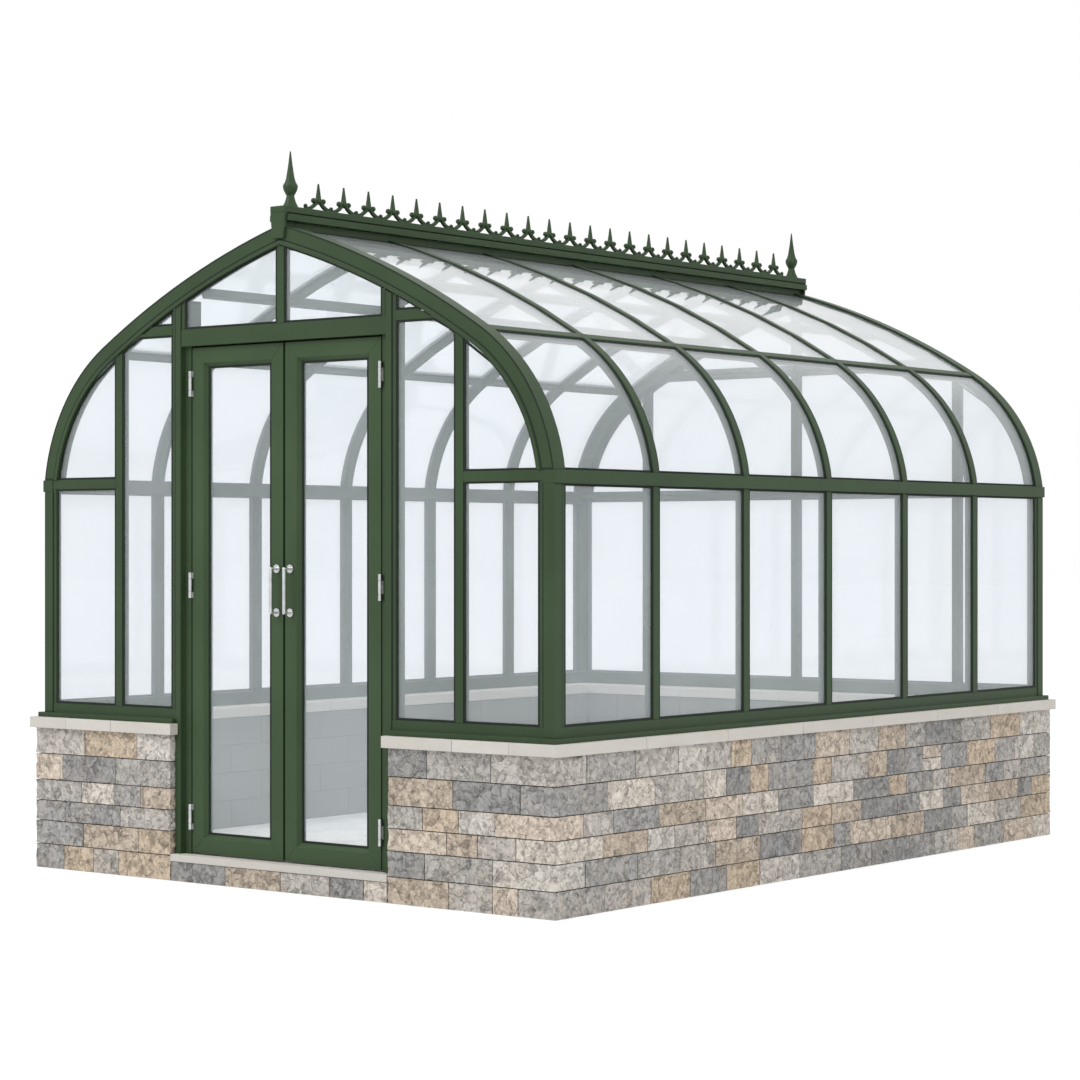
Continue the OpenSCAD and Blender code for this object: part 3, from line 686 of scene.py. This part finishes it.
def lay_face(corner, along, length, heads, tails, courses=COURSES):
    """Stones of one face between the room that its corner stones take."""
    stones, height, tone = [], 0.0, None
    for course, head, tail in zip(courses, heads, tails):
        reach = head
        while reach < length - tail - END:
            left = length - tail - reach
            size = chooser.uniform(SHORTEST, LONGEST)
            if left - size < LEAST_REST:
                size = left if left < LONGEST else left / 2
            rows = 2 if chooser.random() < SPLIT_SHARE else 1
            for row in range(rows):
                tone = other_tone(tone)
                low = height + course * row / rows
                ease = JOINT / 2 if low else 0.0
                place = Vector(corner) + along * (reach + JOINT / 2) + UP * (low + ease)
                extent = (size - JOINT, pattern_stone.dimensions.y,
                          course / rows - ease - JOINT / 2)
                stones.append(set_stone(pattern_stone, extent, place, along, tone))
            reach += size
        height += course
    return stones


east, north = Vector((1, 0, 0)), Vector((0, 1, 0))
wall_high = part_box("right_wall")[1]
wx, wy = wall_high.x, wall_high.y
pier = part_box("threshold_stone")[1].x
step_low, step_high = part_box("step_course")
deep = [step_high.y - step_low.y] * len(COURSES)
none = [0.0]
walls = {
    "front_walls": lay_quoins((-pier, -wy, 0), east, LONG, deep)
    + lay_quoins((pier, -wy, 0), -north, deep, LONG)
    + lay_face((-wx, -wy, 0), east, wx - pier, SHORT, LONG)
    + lay_face((pier, -wy, 0), east, wx - pier, LONG, SHORT),
    "right_wall": lay_quoins((wx, -wy, 0), east, SHORT, LONG)
    + lay_quoins((wx, wy, 0), north, SHORT, LONG)
    + lay_face((wx, -wy, 0), north, 2 * wy, LONG, SHORT),
    "rear_wall": lay_face((wx, wy, 0), -east, 2 * wx, LONG, SHORT),
    "left_wall": lay_quoins((-wx, wy, 0), -east, SHORT, LONG)
    + lay_quoins((-wx, -wy, 0), -north, LONG, SHORT)
    + lay_face((-wx, wy, 0), -north, 2 * wy, LONG, LONG),
    "step_course": lay_face((-pier, -wy, 0), east, 2 * pier, none, none, [step_high.z]),
}
bpy.data.objects.remove(pattern_stone)
bpy.data.objects.remove(pattern_quoin)
print({name: len(stones) for name, stones in walls.items()})

# %% [markdown]
# ## Stone finish
# A split face is full of small flat facets where chips flew off, two to four centimetres across,
# each leaning its own way, with sharp creases between them. A Voronoi texture gives every cell a
# random colour and its middle point: the colour taken as a slope, times the way from that point, is
# a leaning facet. Two sizes of facets drive the bump. Each facet is also painted lighter or darker
# by how it leans, painted light and shade, and some creases get dark lines of painted shade. The
# tone's alpha moves every pattern from stone to stone.

# %% Split stone
split_stone, tree, where = new_material("split_stone")
tone = put(tree, "Attribute", attribute_name="tone")
shift = sums(tree, "ADD", where, tone.outputs["Alpha"], kind="VectorMath")
wander = put(tree, "TexNoise", {"Vector": shift, "Scale": 18, "Detail": 4}).outputs["Color"]
bent = sums(tree, "MULTIPLY_ADD", wander, (0.06, 0.06, 0.06), shift, kind="VectorMath")
LARGE, SMALL = 26, 62


def facets(tree, where, scale):
    """The height of leaning facets, and a random number for each."""
    cells = put(tree, "TexVoronoi", {"Vector": where, "Scale": scale}).outputs
    away = sums(tree, "SUBTRACT", where, cells["Position"], kind="VectorMath")
    slope = sums(tree, "SUBTRACT", cells["Color"], (0.5, 0.5, 0.5), kind="VectorMath")
    lean = sums(tree, "DOT_PRODUCT", away, slope, kind="VectorMath")
    return lean, put(tree, "SeparateColor", {0: cells["Color"]}).outputs[0]


large, large_facet_light = facets(tree, bent, LARGE)
small, small_facet_light = facets(tree, bent, SMALL)
creases = put(tree, "TexVoronoi", {"Vector": bent, "Scale": LARGE},
              feature="DISTANCE_TO_EDGE").outputs["Distance"]
veins = noise(tree, shift, 9, 4, 0.6)
flecks = noise(tree, shift, 45, 6, 0.65)
grit = noise(tree, shift, 200, 3, 0.6)
stained = between(tree, spread(tree, veins, 0, 0.3, 0.45, 0.75), tone.outputs["Color"],
                  display(192, 176, 155))
mottled = shade(tree, stained, spread(tree, flecks, 0.86, 1.08, 0.34, 0.66))
# Each facet's own brightness is painted light and shade for how the facet leans.
facet_lit_colour = shade(tree, mottled, spread(tree, large_facet_light, 0.9, 1.08, 0, 1))
facet_lit_colour = shade(tree, facet_lit_colour, spread(tree, small_facet_light, 0.94, 1.05, 0, 1))
# Creases get dark lines of painted shade, and the fleck noise leaves some of them unshaded.
unshaded_creases = spread(tree, flecks, 0, 0.6, 0.45, 0.6)
crease_shade = sums(tree, "ADD", spread(tree, creases, 0.52, 1.0, 0, 0.07), unshaded_creases, use_clamp=True)
fine = sums(tree, "MULTIPLY_ADD", small, 0.7, large)
height = sums(tree, "MULTIPLY_ADD", grit, 0.0015, fine)
surface(tree, {"Base Color": shade(tree, facet_lit_colour, crease_shade),
               "Roughness": spread(tree, grit, 0.78, 0.95),
               "Normal": bumps(tree, height, 1.0, 1.65)}, IOR=1.4)
print("made", split_stone.name)

# %% [markdown]
# The split itself is a Displace modifier with a cloud texture. It pushes the marked points inwards
# by up to a centimetre, never outwards, so the stones stay inside the CAD wall.

# %% Rough faces
SPLIT_DEPTH, SPLIT_SCALE = 0.012, 0.035
split_clouds = bpy.data.textures.new("split_clouds", "CLOUDS")
split_clouds.noise_scale = SPLIT_SCALE
split_clouds.noise_depth = 2
for node, stones in walls.items():
    facing = joined(stones, node + "_stones")
    finish_with(facing, "DISPLACE", texture=split_clouds, texture_coords="LOCAL",
                vertex_group="rough", mid_level=0.0, strength=-SPLIT_DEPTH)
    smooth(facing, 50)
    hand_over(facing, split_stone, nodes=[node])
    print(facing.name, len(facing.data.polygons), "faces")

# %% [markdown]
# ## Wall core and inside lining
# Behind the stones stands the core, rough and dark like old mortar. Inside, the photo shows a
# smooth grey face, so the lining has a finer grain and takes the tone of each block from the
# attribute.

# %% Mortar and lining finishes
mortar, tree, where = new_material("mortar")
sand = noise(tree, where, 120, 4)
colour = between(tree, spread(tree, sand, 0, 1), display(84, 80, 75), display(112, 107, 100))
surface(tree, {"Base Color": colour, "Roughness": spread(tree, sand, 0.85, 0.97),
               "Normal": bumps(tree, sand, 0.4, 0.002)})
lining_block, tree, where = new_material("lining_block")
grain = noise(tree, where, 14, 5)
pores = noise(tree, where, 240, 2)
tone = put(tree, "Attribute", attribute_name="tone")
colour = shade(tree, tone.outputs["Color"], spread(tree, grain, 0.95, 1.04))
surface(tree, {"Base Color": colour, "Roughness": spread(tree, pores, 0.7, 0.85),
               "Normal": bumps(tree, pores, 0.15, 0.001)})

print("made", mortar.name, "and", lining_block.name)

# %% [markdown]
# The core is set back so that the open joints look dark. The inside face lies in level courses of
# thin blocks in running bond. One block is modelled with softened edges and copied.

# %% Core and lining
BACK, LINING, CORE_ROUND = 0.02, 0.035, 0.003
BLOCK_LENGTH, BLOCK_HEIGHT, BLOCK_JOINT = 0.4, 0.125, 0.0015
ix, iy, floor_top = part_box("floor_slab")[1]
wall_top = wall_high.z
lined_x, lined_y, face_x, face_y = ix + LINING, iy + LINING, wx - BACK, wy - BACK
cores = [
    block("core", (lined_x, -face_y, 0), (face_x, face_y, wall_top)),
    block("core", (-face_x, -face_y, 0), (-lined_x, face_y, wall_top)),
    block("core", (-lined_x, lined_y, 0), (lined_x, face_y, wall_top)),
    block("core", (pier + BACK, -face_y, 0), (lined_x, -lined_y, wall_top)),
    block("core", (-lined_x, -face_y, 0), (-pier - BACK, -lined_y, wall_top)),
    block("core", (-pier, -face_y, 0), (pier, -iy, step_high.z))]
for core in cores:
    soften(core, CORE_ROUND, 1)
hand_over(joined(cores, "wall_core"), mortar)

pattern_block = block("pattern_block", (0, 0, 0), (BLOCK_LENGTH, LINING, BLOCK_HEIGHT))
soften(pattern_block, BLOCK_JOINT, 1)


def line_face(corner, along, length):
    """Blocks in running bond on one inside face; along has the wall on its left."""
    blocks = []
    for row in range(round((wall_top - floor_top) / BLOCK_HEIGHT)):
        reach = 0.0
        while reach < length - END:
            first = BLOCK_LENGTH / 2 if row % 2 and not reach else BLOCK_LENGTH
            size = min(length - reach, first)
            place = Vector(corner) + along * reach + UP * (floor_top + row * BLOCK_HEIGHT)
            extent = (size - BLOCK_JOINT, LINING, BLOCK_HEIGHT - BLOCK_JOINT)
            # The grey is set dark: painted shade for the dim inside of the house.
            grey = chooser.uniform(109, 117)
            blocks.append(set_stone(pattern_block, extent, place, along,
                                    display(grey, grey + 1, grey - 6)))
            reach += size
    return blocks


lining = joined(
    line_face((ix, iy, 0), -north, 2 * iy) + line_face((-ix, -iy, 0), north, 2 * iy)
    + line_face((-ix, iy, 0), east, 2 * ix)
    + line_face((ix, -iy, 0), -east, ix - pier) + line_face((-pier, -iy, 0), -east, ix - pier),
    "wall_lining")
hand_over(lining, lining_block)
bpy.data.objects.remove(pattern_block)
print(lining.name, len(lining.data.polygons), "faces")

# %% [markdown]
# ## Coping and threshold
# Pale sawn limestone caps the wall and lies under the doors. Seen close, it has faint level beds
# and fine pits, so the noise for the beds is squeezed along Z with a Mapping node.

# %% Pale limestone
limestone, tree, where = new_material("pale_limestone")
tone = put(tree, "Attribute", attribute_name="tone")
beds = put(tree, "Mapping", {"Vector": where, "Scale": (1, 1, 3)}).outputs[0]
cloudy = noise(tree, beds, 7, 6, 0.6)
pits = noise(tree, where, 170, 4, 0.6)
stained = between(tree, spread(tree, cloudy, 0, 0.5, 0.45, 0.75), tone.outputs["Color"],
                  display(184, 177, 166))
colour = shade(tree, stained, spread(tree, pits, 0.94, 1.03))
surface(tree, {"Base Color": colour, "Roughness": spread(tree, cloudy, 0.72, 0.88),
               "Normal": bumps(tree, pits, 0.22, 0.0012)}, IOR=1.4)
print("made", limestone.name)

# %% [markdown]
# The lengths are up to about 600 mm, with joints so tight that they are only a faint line. A copy
# of each CAD coping is cut at the joints, and bisect with fill closes the cut ends.

# %% Sawn lengths
SAW, COPING_ROUND, FRONT_JOINT = 0.0012, 0.0025, 0.93


def sawn_lengths(node, along, joints):
    """Copies of a CAD node, each cut down to the length between two joints."""
    lengths = []
    marks = [None, *joints, None]
    for start, end in zip(marks, marks[1:]):
        length = node_copy(node, "length")
        edit(length)
        if start is not None:
            cut(along * (start + SAW / 2), along, clear_inner=True, use_fill=True)
        if end is not None:
            cut(along * (end - SAW / 2), along, clear_outer=True, use_fill=True)
        close()
        pale = chooser.uniform(0, 7)
        lengths.append(tint(length, display(194 + pale, 190 + pale, 183 + pale)))
    return lengths


def evenly(low, high, count):
    """The joints that divide a length into equal parts."""
    return [low + (high - low) * i / count for i in range(1, count)]


cuts = {"side_copings": (north, evenly(-wy, wy, 7)), "rear_coping": (east, evenly(-ix, ix, 4)),
        "front_copings": (east, [-FRONT_JOINT, 0.0, FRONT_JOINT]), "threshold_stone": (east, [])}
for node, (along, joints) in cuts.items():
    stones = [length for length in sawn_lengths(node, along, joints) if length.data.polygons]
    coping = joined(stones, "sawn_" + node)
    soften(coping, COPING_ROUND)
    hand_over(coping, limestone, nodes=[node])
    print(coping.name, len(coping.data.polygons), "faces")

# %% [markdown]
# ## Paved floor
# Inside lies a floor of pale square slabs, seen through the doors as a faint grid. One slab with
# softened edges is modelled and copied over a bed, each with a slightly different pale tone.

# %% Paved floor
COLUMNS, ROWS = 6, 8
SLAB_DEEP, SLAB_GAP, SLAB_ROUND = 0.03, 0.004, 0.002
pattern_slab = block("pattern_slab", (0, 0, 0), (0.4, 0.4, SLAB_DEEP))
soften(pattern_slab, SLAB_ROUND, 1)
slab_x, slab_y = 2 * ix / COLUMNS, 2 * iy / ROWS
extent = (slab_x - SLAB_GAP, slab_y - SLAB_GAP, SLAB_DEEP)
slabs = []
for column in range(COLUMNS):
    for row in range(ROWS):
        corner = Vector((-ix + column * slab_x, -iy + row * slab_y, floor_top - SLAB_DEEP))
        # The slabs are set nearly white: painted light that makes up for the dimmer inside.
        pale = chooser.uniform(238, 246)
        slabs.append(set_stone(pattern_slab, extent, corner, east, display(pale, pale, pale - 3)))
paving = joined(slabs, "floor_slabs")
hand_over(paving, limestone, nodes=["floor_slab"])
bed = block("floor_bed", (-ix, -iy, 0), (ix, iy, floor_top - SLAB_DEEP))
soften(bed, SLAB_ROUND, 1)
hand_over(bed, mortar)
bpy.data.objects.remove(pattern_slab)
print(len(slabs), "slabs of", round(slab_x, 3), "by", round(slab_y, 3), "m")

# %% [markdown]
# ## Gaskets
# Every pane is held by a strip of black rubber that shows as a thin dark line along the metal.
# The same strips also carry painted shade for the rebate beside each bar.
# Rubber is never quite black: a soft noise makes it a little greyer and duller here and there.

# %% Black rubber
# One rubber for the real gaskets and seals, and for dark lines that are painted shade.
rubber_and_painted_shade, tree, where = new_material("rubber_and_painted_shade")
bloom = noise(tree, where, 35, 4)
colour = between(tree, spread(tree, bloom, 0, 1), display(18, 25, 20), display(30, 38, 32))
surface(tree, {"Base Color": colour, "Roughness": spread(tree, bloom, 0.5, 0.7),
               "Normal": bumps(tree, noise(tree, where, 400, 2), 0.1, 0.0004)},
        Specular_IOR_Level=0.2)
print("made", rubber_and_painted_shade.name)

# %% [markdown]
# The upper panes of the gables end in long straight steps, hidden under the lip of a curved arch.
# Their gaskets show, so those have to follow the arch. Three points of its inner edge give the
# middle and the radius of its curve. The steps are then cut finer, and each point is moved out to
# the curve: straight up, or level where the step ends on a rail.

# %% Curve of the gable arches
ARCH_COVER, ARCH_SPAN, SAME_PLANE = 0.009, 0.8, 0.0005
SHORTEST_STEP, FLATTEST, STEEPEST, STEP_CUTS = 0.06, 0.2, 0.8, 5


def circle_through(first, middle, last):
    """The middle and the radius of the circle through three points of a plane."""
    arm, leg = middle - first, last - first
    away = Vector((leg.y * arm.length_squared - arm.y * leg.length_squared,
                   arm.x * leg.length_squared - leg.x * arm.length_squared))
    away /= 2 * (arm.x * leg.y - arm.y * leg.x)
    return first + away, away.length


def arch_slide(point, level):
    """The way from a point, level or straight up, to the curve just under the lip of the arch."""
    way, reach = math.copysign(1, point.x), arch_radius + ARCH_COVER
    out, rise = abs(point.x) - arch_middle.x, point.z - arch_middle.y
    if level:
        return Vector((way * (math.sqrt(reach ** 2 - rise ** 2) - out), 0, 0))
    return Vector((0, 0, math.sqrt(reach ** 2 - out ** 2) - rise))


def is_step(a, b):
    """Whether an edge is one of the long slanting steps under the upper arch."""
    length = (a - b).length
    return (length > SHORTEST_STEP and FLATTEST < abs(a.z - b.z) / length < STEEPEST
            and max(abs(a.x), abs(b.x)) < ARCH_SPAN)


def ends_on_rail(vert):
    """Whether a level edge starts at a point."""
    return any(abs(edge.other_vert(vert).co.z - vert.co.z) < NEAR for edge in vert.link_edges)


def follow_arch(ring):
    """In edit mode, bring the long straight tops of gable panes out to the curve of the arch."""
    pick_edges(ring, is_step)
    bpy.ops.mesh.subdivide(number_cuts=STEP_CUTS)
    bpy.ops.mesh.select_mode(type="VERT")
    mesh = bmesh.from_edit_mesh(ring.data)
    tops = [(vert.co.copy(), ends_on_rail(vert)) for vert in mesh.verts if vert.select]
    for top, level in tops:
        pick(ring, "VERT", lambda vert: (vert.co - top).length < 1e-6)
        bpy.ops.transform.translate(value=arch_slide(top, level))
    bpy.ops.mesh.select_mode(type="FACE")
    pick_all()
    bpy.ops.mesh.dissolve_faces()


arch_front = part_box("front_gable_bends")[0].y
measured = node_copy("front_gable_rafters", "measured_arch")
inner_edge = sorted({(round(point.co.x, 4), round(point.co.z, 4))
                     for point in measured.data.vertices
                     if point.co.x > 0 and abs(point.co.y - arch_front) < SAME_PLANE})[::2]
bpy.data.objects.remove(measured)
arch_middle, arch_radius = circle_through(
    *(Vector(inner_edge[k]) for k in (0, len(inner_edge) // 2, -1)))
print("gable arch:", len(inner_edge), "points on a curve of", round(arch_radius, 2), "m")

# %% [markdown]
# The outer face of each pane is kept from a copy of the glass, inset to where the metal ends, inset
# again by the width of the rubber, and the ring between the two is thickened outwards. Where a pane
# butts against a rail instead of going under it, that edge of the ring is moved to the rail.

# %% Rubber gaskets
UNDER, GASKET_SHADE_WIDTH, PROUD = 0.0085, 0.009, 0.004
BUTT, BUTT_REACH = 0.0083, 0.0095


def gasket_and_shade(node, outside, body="building", under=UNDER, butts=(), arched=False):
    """Rings of rubber, also painted shade beside the bars, on the outer face of the panes of a
    node.
    """
    ring = node_copy(node, "gasket_" + node)
    edit(ring)
    pick_faces(ring, lambda middle, normal: not outside(normal))
    drop_faces()
    if arched:
        follow_arch(ring)
    pick_all()
    if under:
        bpy.ops.mesh.inset(thickness=under, use_boundary=True)
        bpy.ops.mesh.select_all(action="INVERT")
        drop_faces()
        for height, move in butts:
            pick_edges(ring, lambda a, b: max(abs(a.z - height), abs(b.z - height)) < BUTT_REACH)
            bpy.ops.transform.translate(value=(0, 0, move))
        bpy.ops.mesh.select_mode(type="FACE")
        pick_all()
    bpy.ops.mesh.inset(thickness=GASKET_SHADE_WIDTH, use_boundary=True)
    drop_faces()
    close()
    finish_with(ring, "SOLIDIFY", thickness=PROUD, offset=1.0)
    smooth(ring)
    hand_over(ring, rubber_and_painted_shade, body)
    print(ring.name, len(ring.data.polygons), "faces")


rail, beam, eaves, head = (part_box(node)[1].z for node in (
    "front_sills", "corner_posts", "eaves_beams", "door_head"))
for side, way in (("left", -1), ("right", 1)):
    gasket_and_shade(side + "_wall_glass", lambda n: n.x * way > 0.2, butts=[(rail, -BUTT), (beam, BUTT)])
    gasket_and_shade(side + "_curved_glass", lambda n: n.x * way > 0.2, butts=[(eaves, -BUTT)])
    gasket_and_shade(side + "_roof_glass", lambda n: n.x * way > 0.2)
    gasket_and_shade(side + "_door_glass", lambda n: n.y < -0.5, side + "_door", under=0.0)
gasket_and_shade("front_glass", lambda n: n.y < -0.5, butts=[(rail, -BUTT), (head, -BUTT)], arched=True)
gasket_and_shade("rear_glass", lambda n: n.y > 0.5, butts=[(rail, -BUTT)], arched=True)

# %% [markdown]
# ## Bead seams
# Beside each post and jamb the glass is held by a bead that is a bar of its own, so a thin line of
# shade runs where it meets the post. A fine black strip in the corner between the two paints that
# shade as a dark line. One side of the building is measured, and signs put the strips on the other
# sides.

# %% Seams between posts and beads
POST, BEAD, BEAD_BACK, BEAD_DEEP = 0.05, 0.018, 0.004, 0.006
LINE, LINE_PROUD, STRIP_ROUND = 0.006, 0.001, 0.0004
JAMB_TOP, FACE_TOP, FACE_STEP = 2.362, 2.376, 0.03


def strip(low, high):
    """A thin strip between two corners, in any order."""
    ends = list(zip(low, high))
    piece = block("strip", [min(pair) for pair in ends], [max(pair) for pair in ends])
    soften(piece, STRIP_ROUND, 1)
    return piece


post_x, post_y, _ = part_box("corner_posts")[1]
seam_shade_strips = []
# Each strip is painted shade in the joint between bead and post.
for way in (-1, 1):
    for end in (-1, 1):
        x, y = way * (post_x - POST), end * (post_y - BEAD_BACK)
        seam_shade_strips.append(strip((x, y, rail), (x - way * LINE, y + end * LINE_PROUD, beam)))
        x, y = way * (post_x - BEAD_BACK), end * (post_y - POST)
        seam_shade_strips.append(strip((x, y, rail), (x + way * LINE_PROUD, y - end * LINE, beam)))
    y = BEAD_BACK - post_y
    for x, low, high, turn in ((pier, rail, JAMB_TOP, 1), (pier - FACE_STEP, head, FACE_TOP, -1)):
        seam_shade_strips.append(strip((way * x, y, low), (way * (x + turn * LINE), y - LINE_PROUD, high)))
hand_over(joined(seam_shade_strips, "bead_seam_shade"), rubber_and_painted_shade)
print(len(seam_shade_strips), "bead seams")

# %% [markdown]
# The face of each gable arch has such a line of painted shade along both edges. Its flat face is
# taken from a copy of the finished arch and inset, and what remains is a thin black ring just
# inside the rounded edges.

# %% Lines on the gable arches
ARCH_LINE, FLAT = LINE * 0.75, 0.0006
for end, way in (("front", -1), ("rear", 1)):
    arch = bpy.data.objects[end + "_gable_arch"]
    line = bpy.data.objects.new(end + "_arch_line", arch.data.copy())
    scene.collection.objects.link(line)
    edit(line)
    pick_faces(line, lambda middle, normal: (normal.y * way < 0.99
                                             or abs(middle.y * way - post_y) > FLAT))
    drop_faces()
    pick_all()
    bpy.ops.mesh.inset(thickness=ARCH_LINE, use_boundary=True)
    drop_faces()
    close()
    finish_with(line, "SOLIDIFY", thickness=LINE_PROUD, offset=1.0)
    smooth(line)
    # The black ring is painted shade along the edges of the arch.
    hand_over(line, rubber_and_painted_shade)
    print(line.name, len(line.data.polygons), "faces")

# %% [markdown]
# At the ends of the building the post's bead stops level with the eaves beam, a little below the
# transom. A short end piece of bead closes that corner, as a glazier would fit it.

# %% Bead ends under the transoms
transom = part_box("front_transoms")[0].z
ends = []
for way in (-1, 1):
    for end in (-1, 1):
        x, y = way * (post_x - POST), end * (post_y - BEAD_BACK)
        ends.append(strip((x, y, beam), (x - way * BEAD, y - end * BEAD_DEEP, transom)))
hand_over(joined(ends, "bead_ends"), green_paint)
print(len(ends), "bead ends of", round((transom - beam) * 1000), "mm")

# %% [markdown]
# The ridge board stops between the two gable arches, and the moulding runs on over their tops. From
# the side, daylight would show under it. A short packing piece as thick as the board fills that
# slot.

# %% Packing under the ends of the ridge moulding
PACK_HEIGHT, PACK_LAP, PACK_BACK, PACK_RISE = 0.03, 0.005, 0.002, 0.001
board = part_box("ridge_board")[1]
packs = []
for way in (-1, 1):
    packs.append(strip((-board.x, way * (board.y - PACK_LAP), board.z - PACK_HEIGHT),
                       (board.x, way * (post_y - PACK_BACK), board.z + PACK_RISE)))
hand_over(joined(packs, "ridge_packing"), green_paint)
print(len(packs), "packing pieces of", round(board.x * 2000), "mm")

# %% [markdown]
# The slot where the two leaves meet is dark in the photo, because each leaf has a soft rubber seal
# on its edge. Each seal is a strip with a rounded nose that stops just short of the other.

# %% Meeting seals
SEAL_GAP, SEAL_FRONT, SEAL_BACK, SEAL_END, NOSE_ROUND = 0.0012, 0.016, 0.030, 0.002, 0.003
for side, way in (("left", -1), ("right", 1)):
    low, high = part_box(side + "_door_leaf")
    edge = way * min(abs(low.x), abs(high.x))
    nose = way * SEAL_GAP
    seal = block(side + "_meeting_seal",
                 (min(edge, nose), low.y + SEAL_FRONT, low.z + SEAL_END),
                 (max(edge, nose), low.y + SEAL_BACK, high.z - SEAL_END))
    edit(seal)
    pick_edges(seal, lambda a, b: (max(abs(a.x - nose), abs(b.x - nose)) < NEAR
                                   and abs(a.z - b.z) > 1))
    bpy.ops.mesh.bevel(offset=NOSE_ROUND, segments=3, affect="EDGES")
    close()
    smooth(seal)
    hand_over(seal, rubber_and_painted_shade, side + "_door")
    print(seal.name, "stops", abs(nose) * 1000, "mm from the middle")
